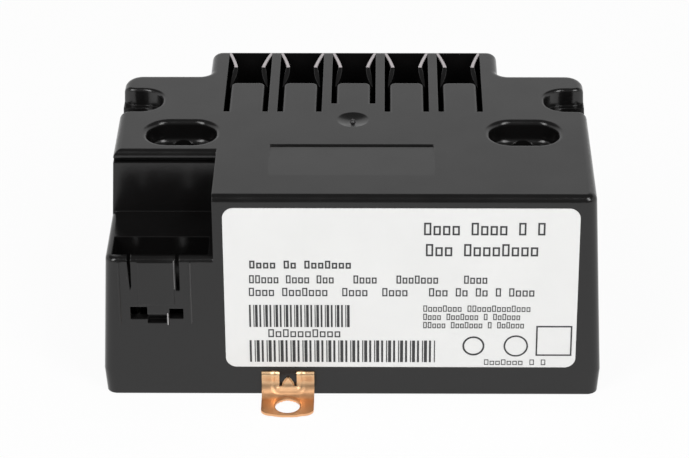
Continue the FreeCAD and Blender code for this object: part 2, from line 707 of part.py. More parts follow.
def print_block(x0, x1, z0, z1):
    """One field of print, on the face of the label."""
    return on_front(box(x0, x1, -LABEL_THICK - PRINT_THICK, -LABEL_THICK, z0, z1))


def bar_field(x0, x1, z0, z1, step):
    """Upright bars whose widths and gaps follow a short repeating rule."""
    bars = []
    x = x0
    i = 0
    while x < x1 - step:
        width = step * (1 + (i * 5 + 1) % 3)
        bars.append(print_block(x, min(x + width, x1), z0, z1))
        x += width + step * (1 + (i * 7 + 2) % 3)
        i += 1
    return bars


def word_row(x, z, height, words):
    """A row of plain blocks in groups, in place of words."""
    blocks = []
    step = height * ROW_PITCH
    for count in words:
        for i in range(count):
            tall = height if (i * 3 + count) % 4 == 0 else height * ROW_LOW
            blocks.append(print_block(x, x + step * ROW_FILL, z, z + tall))
            x += step
        x += step
    return blocks


def ring_mark(x, z, outer, inner):
    """A plain ring."""
    ring = rod(outer, V(x, -LABEL_THICK - PRINT_THICK, z), V(x, -LABEL_THICK, z))
    ring = ring.cut(rod(inner, V(x, -1, z), V(x, 1, z)))
    return on_front(ring)


def square_mark(x0, x1, z0, z1, line):
    """A plain square frame."""
    frame = print_block(x0, x1, z0, z1)
    return frame.cut(print_block(x0 + line, x1 - line, z0 + line, z1 - line))


def make_label_print():
    """Generic fields where the real label has its print."""
    left = LABEL_X[0]
    low = LABEL_Z[0]
    fields = []
    for x0, x1, z0, z1, step in PRINT_BARS:
        fields += bar_field(left + x0, left + x1, low + z0, low + z1, step)
    for x, z, height, words in PRINT_ROWS:
        fields += word_row(left + x, low + z, height, words)
    for x, z, outer, inner in PRINT_RINGS:
        fields.append(ring_mark(left + x, low + z, outer, inner))
    x0, x1, z0, z1, line = PRINT_SQUARE
    fields.append(square_mark(left + x0, left + x1, low + z0, low + z1, line))
    return Part.makeCompound(fields)


def make_earth_clip():
    """The folded earth tab: upright plate, flange with its hole, and wall anchors."""
    left = TAB_X - TAB_WIDTH / 2
    right = TAB_X + TAB_WIDTH / 2
    outer_r = TAB_BEND_R + TAB_THICK
    upright = on_front(box(left, right, -TAB_THICK, 0, outer_r, TAB_TOP_Z))
    window = box(TAB_X - TAB_WINDOW_WIDTH / 2, TAB_X + TAB_WINDOW_WIDTH / 2, -REACH, REACH,
                 TAB_WINDOW_Z, REACH)
    upright = upright.cut(window)
    tooth = Part.makePolygon([V(TAB_X - TOOTH_WIDTH / 2, -TAB_THICK, TAB_WINDOW_Z - 0.2),
                              V(TAB_X + TOOTH_WIDTH / 2, -TAB_THICK, TAB_WINDOW_Z - 0.2),
                              V(TAB_X, -TAB_THICK, TOOTH_TIP_Z),
                              V(TAB_X - TOOTH_WIDTH / 2, -TAB_THICK, TAB_WINDOW_Z - 0.2)])
    tooth = on_front(Part.Face(tooth).extrude(V(0, TAB_THICK, 0)))
    face = front_at(outer_r)
    bend_y = face - outer_r
    bend = rod(outer_r, V(left, bend_y, outer_r), V(right, bend_y, outer_r))
    bend = bend.cut(rod(TAB_BEND_R, V(left - 1, bend_y, outer_r), V(right + 1, bend_y, outer_r)))
    bend = bend.common(box(left, right, bend_y, face, 0, outer_r))
    bend = bend.cut(window)
    tip = FRONT_Y - TAB_REACH
    corner = tip + TAB_END_R
    edges = [Part.LineSegment(V(left, corner, 0), V(left, bend_y, 0)),
             Part.LineSegment(V(left, bend_y, 0), V(right, bend_y, 0)),
             Part.LineSegment(V(right, bend_y, 0), V(right, corner, 0))]
    turn = TAB_END_R * (1 - math.sqrt(0.5))
    low = tip + TAB_END_BOW
    edges.append(Part.Arc(V(right, corner, 0), V(right - turn, low + turn - 0.1, 0),
                          V(right - TAB_END_R, low, 0)))
    edges.append(Part.Arc(V(right - TAB_END_R, low, 0), V(TAB_X, tip, 0),
                          V(left + TAB_END_R, low, 0)))
    edges.append(Part.Arc(V(left + TAB_END_R, low, 0), V(left + turn, low + turn - 0.1, 0),
                          V(left, corner, 0)))
    flange = Part.Face(Part.Wire([edge.toShape() for edge in edges])).extrude(V(0, 0, TAB_THICK))
    hole = V(TAB_X, FRONT_Y - EARTH_HOLE_OUT, -1)
    flange = flange.cut(rod(EARTH_HOLE_R, hole, hole + V(0, 0, 3)))
    return join([upright, tooth, bend, flange] + clip_anchors())


def make_blade(place):
    """One flat contact blade of the mains socket."""
    x = BLADE_MID_X + place * BLADE_PITCH
    blade = box(x - BLADE_THICK / 2, x + BLADE_THICK / 2, BLADE_Y - BLADE_WIDTH / 2,
                BLADE_Y + BLADE_WIDTH / 2, BLADE_FOOT_Z, BLADE_TOP_Z)
    tip = edges_within(blade, x - 1, x + 1, -REACH, REACH, BLADE_TOP_Z - 0.01, BLADE_TOP_Z + 0.01)
    return blade.makeChamfer(BLADE_THICK * 0.3, tip)


def make_pin_carrier(blades):
    """The block that closes the socket and holds the blades."""
    carrier = box(SOCKET_LEFT_X, SOCKET_RIGHT_X, SOCKET_FRONT_Y, SOCKET_REAR_Y,
                  SOCKET_FLOOR_Z - CARRIER_HEIGHT, SOCKET_FLOOR_Z)
    for blade in blades:
        carrier = carrier.cut(blade)
    return carrier


def make_hv_pin(side):
    """One round contact pin in a high voltage socket: collar in the wall, rounded tip."""
    x = side * HV_X
    floor = HV_END_Y + PIN_COLLAR_PROUD
    pin = rod(PIN_R, V(x, floor, HV_Z), V(x, PIN_TIP_Y, HV_Z))
    tip = [edge for edge in pin.Edges if edge.BoundBox.YMin > PIN_TIP_Y - 0.01]
    pin = pin.makeFillet(PIN_TIP_R, tip)
    return join([rod(PIN_COLLAR_R, V(x, PIN_TAIL_Y, HV_Z), V(x, floor, HV_Z)), pin])


def make_board(blades):
    """The circuit board, with arms under the socket and the big capacitor."""
    corners = [(-ARM_HALF, BOARD_FRONT_Y), (ARM_HALF, BOARD_FRONT_Y), (ARM_HALF, ARM_REAR_Y),
               (BOARD_HALF, ARM_REAR_Y), (BOARD_HALF, BOARD_REAR_Y), (-BOARD_HALF, BOARD_REAR_Y),
               (-BOARD_HALF, ARM_REAR_Y), (-ARM_HALF, ARM_REAR_Y)]
    board = prism(corners, [1, 1, 1, 0, 1, 1, 0, 1], BOARD_Z, BOARD_TOP)
    for blade in blades:
        board = board.cut(blade)
    return board


def make_core_half(side):
    """One ferrite half: a round leg in the winding, a back and a square return leg."""
    end = side * CORE_HALF
    inner = side * (CORE_HALF - CORE_SIDE * 0.75)
    half = CORE_SIDE / 2
    back = box(min(end, inner), max(end, inner), CORE_Y - half, CORE_Y + half,
               CORE_Z - LEG_R, BACK_LEG_Z + half)
    leg = rod(LEG_R, V(0, CORE_Y, CORE_Z), V(inner, CORE_Y, CORE_Z))
    return_leg = box(min(0, inner), max(0, inner), CORE_Y - half, CORE_Y + half,
                     BACK_LEG_Z - half, BACK_LEG_Z + half)
    return join([back, leg, return_leg])


def make_core_clamp():
    """A spring steel band over the two core halves."""
    top = BACK_LEG_Z + CORE_SIDE / 2
    half = CLAMP_WIDTH / 2
    outer = CORE_HALF + CLAMP_THICK
    band = box(-outer, outer, CORE_Y - half, CORE_Y + half, CORE_Z - LEG_R, top + CLAMP_THICK)
    return band.cut(box(-CORE_HALF, CORE_HALF, -REACH, REACH, -REACH, top))


def ring_body(outer, inner, x0, x1):
    """A ring about the transformer's axis."""
    ring = rod(outer, V(x0, CORE_Y, CORE_Z), V(x1, CORE_Y, CORE_Z))
    return ring.cut(rod(inner, V(x0 - 1, CORE_Y, CORE_Z), V(x1 + 1, CORE_Y, CORE_Z)))


def make_primary_bobbin():
    """The tube that carries the primary winding."""
    return ring_body(TUBE_R, LEG_R + FIT, -SPOOL_HALF, SPOOL_HALF)


def make_primary_winding():
    """The primary winding on its tube."""
    length = SPOOL_HALF - FLANGE_THICK
    return ring_body(PRIMARY_R, TUBE_R, -length, length)


def chamber_edges():
    """Where each winding chamber starts and ends along the spool, on the right side."""
    span = (SPOOL_HALF - FLANGE_THICK / 2) / CHAMBERS
    return [(i * span + FLANGE_THICK / 2, (i + 1) * span - FLANGE_THICK / 2)
            for i in range(CHAMBERS)]


def make_hv_bobbin():
    """The chambered spool for the secondary windings, on two square feet."""
    spool = [ring_body(SPOOL_R, SPOOL_BORE, -SPOOL_HALF, SPOOL_HALF)]
    walls = [-SPOOL_HALF, SPOOL_HALF - FLANGE_THICK, -FLANGE_THICK / 2]
    for low, high in chamber_edges()[:-1]:
        walls.append(high)
        walls.append(-high - FLANGE_THICK)
    for x in walls:
        spool.append(ring_body(FLANGE_HALF, SPOOL_BORE, x, x + FLANGE_THICK))
    for x in (-SPOOL_HALF, SPOOL_HALF - FLANGE_THICK):
        foot = box(x, x + FLANGE_THICK, CORE_Y - FLANGE_HALF, CORE_Y + FLANGE_HALF,
                   BOARD_TOP, CORE_Z)
        bore = rod(SPOOL_BORE, V(x - 1, CORE_Y, CORE_Z), V(x + 3, CORE_Y, CORE_Z))
        spool.append(foot.cut(bore))
    return join(spool)


def make_secondary(side):
    """One high voltage winding, in the chambers of one side."""
    rings = []
    for low, high in chamber_edges():
        start = min(side * low, side * high)
        rings.append(ring_body(SECONDARY_R, SPOOL_R, start, start + high - low))
    return Part.makeCompound(rings)


def make_smoothing_capacitor():
    """The upright electrolytic capacitor."""
    x, y = SMOOTHING_AT
    can = rod(SMOOTHING_R, V(x, y, BOARD_TOP), V(x, y, BOARD_TOP + SMOOTHING_HEIGHT))
    return can.makeFillet(SMOOTHING_R * 0.1, [can.Edges[0], can.Edges[2]])


def film_capacitor(size, place):
    """A moulded film capacitor standing on the board."""
    x, y = place
    body = box(x - size[0] / 2, x + size[0] / 2, y - size[1] / 2, y + size[1] / 2,
               BOARD_TOP, BOARD_TOP + size[2])
    upright = [edge for edge in body.Edges if edge.BoundBox.ZLength > 1]
    return body.makeFillet(0.6, upright)


def transistor_screw_axis():
    """Where the screw goes through the transistor and the heat spreader."""
    z = BOARD_TOP + TRANSISTOR_LIFT + TRANSISTOR_SIZE[1] * 0.8
    return SPREADER_Y, z


def make_transistor_screw():
    """The screw that holds the transistor to the heat spreader."""
    y, z = transistor_screw_axis()
    face = SPREADER_X - TRANSISTOR_THICK
    shank = rod(SCREW_R, V(face, y, z), V(SPREADER_X + SPREADER_THICK, y, z))
    head = rod(SCREW_HEAD_R, V(face - SCREW_HEAD_HEIGHT, y, z), V(face, y, z))
    return join([shank, head])


def make_heat_spreader(screw):
    """The aluminium plate beside the transformer."""
    y, z = transistor_screw_axis()
    half = SPREADER_SIZE[0] / 2
    plate = box(SPREADER_X, SPREADER_X + SPREADER_THICK, y - half, y + half,
                BOARD_TOP, BOARD_TOP + SPREADER_SIZE[1])
    return plate.cut(screw)


def make_power_transistor(screw):
    """The power transistor, with three legs down to the board."""
    y, z = transistor_screw_axis()
    half = TRANSISTOR_SIZE[0] / 2
    low = BOARD_TOP + TRANSISTOR_LIFT
    parts = [box(SPREADER_X - TRANSISTOR_THICK, SPREADER_X, y - half, y + half,
                 low, low + TRANSISTOR_SIZE[1])]
    for place in (-1, 0, 1):
        mid = y + place * LEG_PITCH
        parts.append(box(SPREADER_X - TRANSISTOR_THICK / 2, SPREADER_X - TRANSISTOR_THICK / 2 + LEG_SIZE,
                         mid - LEG_SIZE / 2, mid + LEG_SIZE / 2, BOARD_TOP, low))
    return join(parts).cut(screw)


def axial_part(x, y, radius, length):
    """A small round part lying along Y, with its two bent wires."""
    z = BOARD_TOP + radius
    parts = [rod(radius, V(x, y - length / 2, z), V(x, y + length / 2, z))]
    for side in (-1, 1):
        end = y + side * length / 2
        reach = end + side * WIRE_SPAN
        parts.append(rod(WIRE_R, V(x, end, z), V(x, reach, z)))
        parts.append(rod(WIRE_R, V(x, reach, BOARD_TOP), V(x, reach, z)))
        parts.append(Part.makeSphere(WIRE_R, V(x, reach, z)))
    return join(parts)


def make_rectifier_diodes():
    """Four rectifier diodes in a row."""
    first = -1.5 * DIODE_PITCH
    return Part.makeCompound([axial_part(first + i * DIODE_PITCH, DIODE_Y, DIODE_R, DIODE_LENGTH)
                              for i in range(4)])


def make_resistors():
    """Resistors in a row along the front."""
    first = -(RESISTOR_COUNT - 1) / 2 * RESISTOR_PITCH
    return Part.makeCompound([axial_part(first + i * RESISTOR_PITCH, RESISTOR_Y, RESISTOR_R,
                                         RESISTOR_LENGTH) for i in range(RESISTOR_COUNT)])


def make_fuse():
    """The fuse, a round body lying across the board."""
    x, y = FUSE_AT
    z = BOARD_TOP + FUSE_R
    half = FUSE_LENGTH / 2
    body = rod(FUSE_R, V(x - half, y, z), V(x + half, y, z))
    return body.makeFillet(FUSE_R * 0.15, [body.Edges[0], body.Edges[2]])


def make_varistor():
    """The varistor, a disc standing on its edge."""
    x, y = VARISTOR_AT
    z = BOARD_TOP + VARISTOR_R
    half = VARISTOR_THICK / 2
    disc = rod(VARISTOR_R, V(x, y - half, z), V(x, y + half, z))
    return disc.makeFillet(VARISTOR_THICK * 0.2, [disc.Edges[0], disc.Edges[2]])


def make_choke_core():
    """The drum core of the suppression choke."""
    x, y = CHOKE_AT
    top = BOARD_TOP + CHOKE_HEIGHT
    parts = [rod(CHOKE_CORE_R, V(x, y, BOARD_TOP), V(x, y, top))]
    parts.append(rod(CHOKE_R, V(x, y, BOARD_TOP), V(x, y, BOARD_TOP + CHOKE_RIM)))
    parts.append(rod(CHOKE_R, V(x, y, top - CHOKE_RIM), V(x, y, top)))
    return join(parts)


def make_choke_winding():
    """The winding between the drum core's rims."""
    x, y = CHOKE_AT
    low = V(x, y, BOARD_TOP + CHOKE_RIM)
    high = V(x, y, BOARD_TOP + CHOKE_HEIGHT - CHOKE_RIM)
    return rod(CHOKE_R - 0.4, low, high).cut(rod(CHOKE_CORE_R, low, high))


def make_hv_lead(side):
    """The insulated wire from a secondary winding to its pin."""
    low, high = chamber_edges()[CHAMBERS - 1]
    x0 = side * (low + high) / 2
    start = V(x0, CORE_Y + SECONDARY_R, CORE_Z)
    bend = V(x0, PIN_TAIL_Y - 2.2 * LEAD_BEND, CORE_Z)
    end = V(side * HV_X, PIN_TAIL_Y, HV_Z)
    runs = [rod(LEAD_R, start, bend), rod(LEAD_R, bend, end), Part.makeSphere(LEAD_R, bend)]
    whole = join(runs)
    return whole.cut(box(-REACH, REACH, PIN_TAIL_Y, REACH, -REACH, REACH))


def make_earth_lead():
    """The wire from the earth blade's foot to the earth tab's anchor."""
    z = BLADE_FOOT_Z - EARTH_LEAD_R - FIT
    x0 = BLADE_MID_X + BLADE_PITCH - BLADE_THICK / 2
    x1 = TAB_X - TAB_WINDOW_WIDTH / 2 - 1
    return rod(EARTH_LEAD_R, V(x0, BLADE_Y, z), V(x1, BLADE_Y, z))


def make_resin(cavity, inside):
    """The cast resin: the cavity, short of the base, less everything set in it."""
    recess = box(-REACH, REACH, -REACH, REACH, -1, RESIN_RECESS)
    return cavity.cut([recess] + inside)


def make_all():
    """Every sub-part, by name."""
    cavity = make_cavity()
    blades = [make_blade(place) for place in (-1, 0, 1)]
    screw = make_transistor_screw()
    pieces = {
        "hv_pin_left": make_hv_pin(-1),
        "hv_pin_right": make_hv_pin(1),
        "mains_pin_live": blades[0],
        "mains_pin_neutral": blades[1],
        "mains_pin_earth": blades[2],
        "pin_carrier": make_pin_carrier(blades),
        "earth_clip": make_earth_clip(),
        "circuit_board": make_board(blades),
        "core_left": make_core_half(-1),
        "core_right": make_core_half(1),
        "core_clamp": make_core_clamp(),
        "primary_bobbin": make_primary_bobbin(),
        "primary_winding": make_primary_winding(),
        "hv_bobbin": make_hv_bobbin(),
        "secondary_winding_left": make_secondary(-1),
        "secondary_winding_right": make_secondary(1),
        "smoothing_capacitor": make_smoothing_capacitor(),
        "suppression_capacitor": film_capacitor(SUPPRESSION_SIZE, SUPPRESSION_AT),
        "resonance_capacitor": film_capacitor(RESONANCE_SIZE, RESONANCE_AT),
        "transistor_screw": screw,
        "heat_spreader": make_heat_spreader(screw),
        "power_transistor": make_power_transistor(screw),
        "rectifier_diodes": make_rectifier_diodes(),
        "resistors": make_resistors(),
        "fuse": make_fuse(),
        "varistor": make_varistor(),
        "choke_core": make_choke_core(),
        "choke_winding": make_choke_winding(),
        "hv_lead_left": make_hv_lead(-1),
        "hv_lead_right": make_hv_lead(1),
        "earth_lead": make_earth_lead(),
    }
    pieces["potting_fill"] = make_resin(cavity, list(pieces.values()))
    pieces["housing"] = make_housing(cavity)
    pieces["label"] = make_label()
    pieces["label_print"] = make_label_print()
    return pieces


os.makedirs("parts", exist_ok=True)
for name, shape in make_all().items():
    shape.exportStep("parts/" + name + ".step")
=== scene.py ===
import math

import bpy
import numpy as np
from mathutils import Matrix, Vector
from mathutils.geometry import delaunay_2d_cdt


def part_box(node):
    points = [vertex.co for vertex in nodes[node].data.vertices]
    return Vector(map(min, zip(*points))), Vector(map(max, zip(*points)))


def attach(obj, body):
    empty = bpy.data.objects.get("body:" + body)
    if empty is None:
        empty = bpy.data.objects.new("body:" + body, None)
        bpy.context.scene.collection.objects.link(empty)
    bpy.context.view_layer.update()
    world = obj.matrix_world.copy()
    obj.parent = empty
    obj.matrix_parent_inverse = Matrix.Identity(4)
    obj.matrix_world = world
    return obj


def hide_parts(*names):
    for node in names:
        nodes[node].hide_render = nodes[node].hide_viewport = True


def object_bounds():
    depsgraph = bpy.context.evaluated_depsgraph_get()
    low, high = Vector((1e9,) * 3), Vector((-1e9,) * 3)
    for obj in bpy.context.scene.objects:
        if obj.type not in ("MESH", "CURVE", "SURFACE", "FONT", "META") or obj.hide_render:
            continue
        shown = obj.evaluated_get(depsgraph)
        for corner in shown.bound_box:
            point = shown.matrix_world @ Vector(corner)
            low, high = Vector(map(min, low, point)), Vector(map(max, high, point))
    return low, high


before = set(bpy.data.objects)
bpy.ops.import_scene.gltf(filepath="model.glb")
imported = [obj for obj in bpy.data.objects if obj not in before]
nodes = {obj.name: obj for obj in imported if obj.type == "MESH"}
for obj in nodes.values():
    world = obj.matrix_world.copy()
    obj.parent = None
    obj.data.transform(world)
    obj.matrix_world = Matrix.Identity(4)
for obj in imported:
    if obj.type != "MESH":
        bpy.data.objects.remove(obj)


# Housing: one black moulding in glass filled nylon, open below and potted with resin.
# It left the tool with a fine eroded grain. Its corners are rubbed a little smoother than
# its faces. The tops of the sprung lips in the bays carry a painted highlight in a pale colour,
# and so do a few upright edges on the latch.
MM = 0.001
CLOUD_RANGE = (0.3, 0.7)
RUB_SAMPLES = 6
RUB_GAIN = 6.0

cad_low, cad_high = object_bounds()


def add(tree, kind, inputs=(), **settings):
    """Adds a shader node: settings are its properties, and inputs numbers, colours or sockets."""
    made = tree.nodes.new("ShaderNode" + kind)
    for name, value in settings.items():
        setattr(made, name, value)
    for key, value in dict(inputs).items():
        if isinstance(value, bpy.types.NodeSocket):
            tree.links.new(value, made.inputs[key])
        else:
            made.inputs[key].default_value = value
    return made


def maths(tree, operation, *values, **settings):
    """One sum, product or test on numbers or sockets."""
    return add(tree, "Math", enumerate(values), operation=operation, **settings).outputs[0]


def effect(name, numbers, outputs):
    """Starts a node group with number inputs and the given outputs, and returns its ends."""
    group = bpy.data.node_groups.new(name, "ShaderNodeTree")
    group.interface.new_socket("Vector", in_out="INPUT", socket_type="NodeSocketVector")
    for label, value in numbers.items():
        socket = group.interface.new_socket(label, in_out="INPUT", socket_type="NodeSocketFloat")
        socket.default_value = value
    for label, kind in outputs.items():
        group.interface.new_socket(label, in_out="OUTPUT", socket_type="NodeSocket" + kind)
    start = group.nodes.new("NodeGroupInput")
    end = group.nodes.new("NodeGroupOutput")
    return group, start.outputs, end.inputs


def use(tree, group, centre=(0, 0, 0), turn=(0, 0, 0), **numbers):
    """Places an effect in a material on the object's own coordinates, centred and turned."""
    place = add(tree, "TexCoord")
    moved = add(tree, "Mapping", {"Vector": place.outputs["Object"], "Rotation": turn,
                                  "Location": centre}, vector_type="TEXTURE")
    made = tree.nodes.new("ShaderNodeGroup")
    made.node_tree = group
    tree.links.new(moved.outputs[0], made.inputs["Vector"])
    for label, value in numbers.items():
        made.inputs[label].default_value = value
    return made.outputs


def shade(tree, mask, low, high):
    """Turns a mask from 0 to 1 into a value from low to high."""
    return add(tree, "MapRange", {"Value": mask, "To Min": low, "To Max": high}).outputs[0]


def tint(tree, mask, dark, light):
    """Mixes two colours, or a colour and a colour socket, by a mask."""
    mix = add(tree, "Mix", data_type="RGBA")
    tree.links.new(mask, mix.inputs["Factor"])
    for label, colour in (("A", dark), ("B", light)):
        if isinstance(colour, bpy.types.NodeSocket):
            tree.links.new(colour, mix.inputs[label])
        else:
            mix.inputs[label].default_value = (*colour, 1)
    return mix.outputs["Result"]


def material(name, **plain):
    """A material with a Principled shader whose plain sockets hold the given values."""
    made = bpy.data.materials.new(name)
    made.use_nodes = True
    tree = made.node_tree
    shader = tree.nodes["Principled BSDF"]
    for label, value in plain.items():
        socket = shader.inputs[label.replace("_", " ")]
        socket.default_value = value if isinstance(value, (int, float)) else (*value, 1)
    return made, tree, shader.inputs


def bump(tree, height, distance, strength=1.0, normal=None):
    """A bump in metres from a height mask, on top of another normal if there is one."""
    made = add(tree, "Bump", {"Height": height, "Distance": distance, "Strength": strength})
    if normal is not None:
        tree.links.new(normal, made.inputs["Normal"])
    return made.outputs["Normal"]


def dress(names, finish):
    """Gives CAD nodes their finish."""
    for name in names:
        piece = nodes[name]
        piece.data.materials.clear()
        piece.data.materials.append(finish)


# Fine grain over a broader cloudiness, for moulded, cast and painted surfaces.
grain, start, end = effect("grain", {"Fine": 4000.0, "Broad": 250.0},
                           {"Height": "Float", "Cloud": "Float"})
fine = add(grain, "TexNoise", {"Vector": start["Vector"], "Scale": start["Fine"], "Detail": 3.0})
broad = add(grain, "TexNoise", {"Vector": start["Vector"], "Scale": start["Broad"], "Detail": 4.0})
spread = add(grain, "MapRange", {"Value": broad.outputs["Fac"], "From Min": CLOUD_RANGE[0],
                                 "From Max": CLOUD_RANGE[1]})
grain.links.new(fine.outputs["Fac"], end["Height"])
grain.links.new(spread.outputs[0], end["Cloud"])

# Edge rub: a normal rounded over the corners, and a mask that is 1 along them.
edge, start, end = effect("edge_rub", {"Radius": 0.3 * MM, "Gain": RUB_GAIN},
                          {"Normal": "Vector", "Rub": "Float"})
soft = add(edge, "Bevel", {"Radius": start["Radius"]}, samples=RUB_SAMPLES)
sharp = add(edge, "NewGeometry")
level = add(edge, "VectorMath", {0: soft.outputs[0], 1: sharp.outputs["Normal"]},
            operation="DOT_PRODUCT")
lost = maths(edge, "SUBTRACT", 1.0, level.outputs["Value"])
edge.links.new(soft.outputs[0], end["Normal"])
edge.links.new(maths(edge, "MULTIPLY", lost, start["Gain"], use_clamp=True), end["Rub"])


def finish_of(name, colours, rough, fine, broad, depth, rim=0.0, **plain):
    """A finish whose colour and roughness follow its grain, with softened corners if rim is set.

    Grain sizes are in cycles a metre, and depth and rim in millimetres."""
    made, tree, skin = material(name, **plain)
    surface = use(tree, grain, Fine=fine, Broad=broad)
    colour = tint(tree, surface["Cloud"], *colours[:2])
    normal = None
    if rim:
        corner = use(tree, edge, Radius=rim * MM)
        normal = corner["Normal"]
        if len(colours) > 2:
            colour = tint(tree, corner["Rub"], colour, colours[2])
    tree.links.new(colour, skin["Base Color"])
    tree.links.new(shade(tree, surface["Cloud"], *rough), skin["Roughness"])
    tree.links.new(bump(tree, surface["Height"], depth * MM, 1.0, normal), skin["Normal"])
    return made


# Lip highlights: a mask over the rear arms of the sprung lips, on both sides of each bay.
# There a highlight is painted on the black plastic in a pale colour.
# Each arm is found by its distance from the middle of its bay.
LIP_HIGHLIGHT = (0.5, 0.46, 0.47)
BAY_PITCH = 11.1 * MM
BAYS_HALF = 27.0 * MM
LIP_REACH = (2.3 * MM, 4.58 * MM)
LIP_Y = (30.0 * MM, 36.7 * MM)
LIP_TOP = 0.3 * MM

lips, start, end = effect("lip_mask", {"Inner": LIP_REACH[0], "Outer": LIP_REACH[1]},
                          {"Mask": "Float"})
spot = add(lips, "SeparateXYZ", {0: start["Vector"]}).outputs
bays = maths(lips, "DIVIDE", spot["X"], BAY_PITCH)
beside = maths(lips, "SUBTRACT", bays, maths(lips, "ROUND", bays))
reach = maths(lips, "MULTIPLY", maths(lips, "ABSOLUTE", beside), BAY_PITCH)
mask = maths(lips, "GREATER_THAN", reach, start["Inner"])
for test, value, limit in (("LESS_THAN", reach, start["Outer"]),
                           ("LESS_THAN", maths(lips, "ABSOLUTE", spot["X"]), BAYS_HALF),
                           ("GREATER_THAN", spot["Y"], LIP_Y[0]),
                           ("LESS_THAN", spot["Y"], LIP_Y[1]),
                           ("GREATER_THAN", spot["Z"], cad_high.z - LIP_TOP)):
    mask = maths(lips, "MULTIPLY", mask, maths(lips, test, value, limit))
lips.links.new(mask, end["Mask"])

# Latch highlights: thin upright lines on the front wall, painted pale as highlights on its edges,
# each a box of space round its middle. Middle in X and Z, half width and half height in mm,
# and how pale it is.
LATCH_HIGHLIGHT = (0.42, 0.41, 0.41)
LATCH_HIGHLIGHT_LINES = [(-35.22, 27.3, 0.08, 3.2, 0.5), (-36.72, 17.4, 0.11, 1.3, 0.9),
             (-31.95, 23.2, 0.1, 6.8, 0.1)]
FRONT_WALL_Y = -27.7 * MM
LINE_HALF_DEPTH = 0.9 * MM

lines, start, end = effect("line_mask", {"Wide": 0.0, "Tall": 0.0}, {"Mask": "Float"})
spot = add(lines, "SeparateXYZ", {0: start["Vector"]}).outputs
across, deep, along = [maths(lines, "LESS_THAN", maths(lines, "ABSOLUTE", spot[axis]), half)
                       for axis, half in (("X", start["Wide"]), ("Y", LINE_HALF_DEPTH),
                                          ("Z", start["Tall"]))]
lines.links.new(maths(lines, "MULTIPLY", maths(lines, "MULTIPLY", across, along), deep),
                end["Mask"])

BLACK_PLASTIC = ((0.0052, 0.0049, 0.0049), (0.0064, 0.0061, 0.0061), (0.008, 0.0076, 0.0076))
PLASTIC_ROUGH = (0.16, 0.24)
PLASTIC_GRAIN = 2600.0
PLASTIC_CLOUD = 120.0
GRAIN_DEPTH = 0.007
CORNER_R = 0.32

black_plastic = finish_of("moulded_black_nylon", BLACK_PLASTIC, PLASTIC_ROUGH, PLASTIC_GRAIN,
                          PLASTIC_CLOUD, GRAIN_DEPTH, CORNER_R, IOR=1.5)
tree = black_plastic.node_tree
skin = tree.nodes["Principled BSDF"].inputs["Base Color"]
# Painted highlight: a pale colour over the tops of the lips.
colour = tint(tree, use(tree, lips)["Mask"], skin.links[0].from_socket, LIP_HIGHLIGHT)
# Painted highlights: pale lines along the latch's edges.
for x, z, wide, tall, pale in LATCH_HIGHLIGHT_LINES:
    placed = use(tree, lines, centre=(x * MM, FRONT_WALL_Y, z * MM), Wide=wide * MM, Tall=tall * MM)
    colour = tint(tree, shade(tree, placed["Mask"], 0.0, pale), colour, LATCH_HIGHLIGHT)
tree.links.new(colour, skin)
dress(["housing"], black_plastic)


# Label: white polyester film, printed and stuck to the front face.
# It is thin enough to follow the face, and its rounded corners are die cut.
FILM_WHITE = ((0.80, 0.80, 0.79), (0.83, 0.83, 0.82))

label_film = finish_of("white_label_film", FILM_WHITE, rough=(0.34, 0.44), fine=900.0,
                       broad=60.0, depth=0.004, rim=0.1, IOR=1.48)
dress(["label"], label_film)


# Print on the label: black ink laid down as rows of small open blocks, two fields of bars,
# two rings and a square frame. The ink stands a little proud of the film.
LABEL_THICK = 0.15 * MM
INK_THICK = 0.05 * MM
BLOCK_FILL = 0.76
LOW_BLOCK = 0.74
THICK_STROKE = 0.34
THIN_STROKE = 0.24
INK = ((0.022, 0.022, 0.024), (0.04, 0.04, 0.043))
# Rows: left, right and lower edge, height and stroke in mm, and blocks a word (0 is a gap).
PRINT_ROWS = [
    (14.3, 38.1, 36.55, 2.75, THICK_STROKE, (4, 4, 1, 1)),
    (14.7, 36.8, 31.85, 2.7, THICK_STROKE, (3, 8)),
    (-20.2, -0.1, 29.0, 1.75, 0.3, (4, 2, 7)),
    (-20.3, 26.9, 25.65, 1.8, THIN_STROKE, (5, 4, 3, 0, 0, 4, 0, 0, 7, 0, 0, 0, 4)),
    (-20.4, 36.3, 22.75, 1.85, THIN_STROKE, (4, 7, 0, 4, 0, 4, 0, 0, 3, 2, 2, 1, 4)),
    (-16.7, -2.3, 13.3, 1.8, THIN_STROKE, (10,)),
    (14.3, 35.6, 19.25, 1.4, 0.17, (8, 13)),
    (14.3, 33.6, 17.35, 1.4, 0.17, (4, 7, 1, 6)),
    (14.3, 34.4, 15.45, 1.4, 0.17, (5, 7, 1, 6)),
    (26.6, 38.9, 6.95, 1.25, 0.15, (7, 1, 1)),
]
# Bar fields: left, right, lower and upper edge, and the narrowest bar, in mm.
BAR_COUNT = 400
BAR_FIELDS = [(-20.46, -0.34, 15.65, 20.7, 0.17), (-20.5, 17.1, 7.55, 12.55, 0.2)]
# Rings: middle in X and Z, outer and inner radius, in mm.
RINGS = [(24.4, 11.35, 2.2, 1.85), (32.9, 11.35, 2.45, 2.13)]
# Square frame: left, right, lower and upper edge and stroke, in mm.
FRAME_MARK = (36.9, 44.1, 9.1, 16.0, 0.3)
RING_STEPS = 48


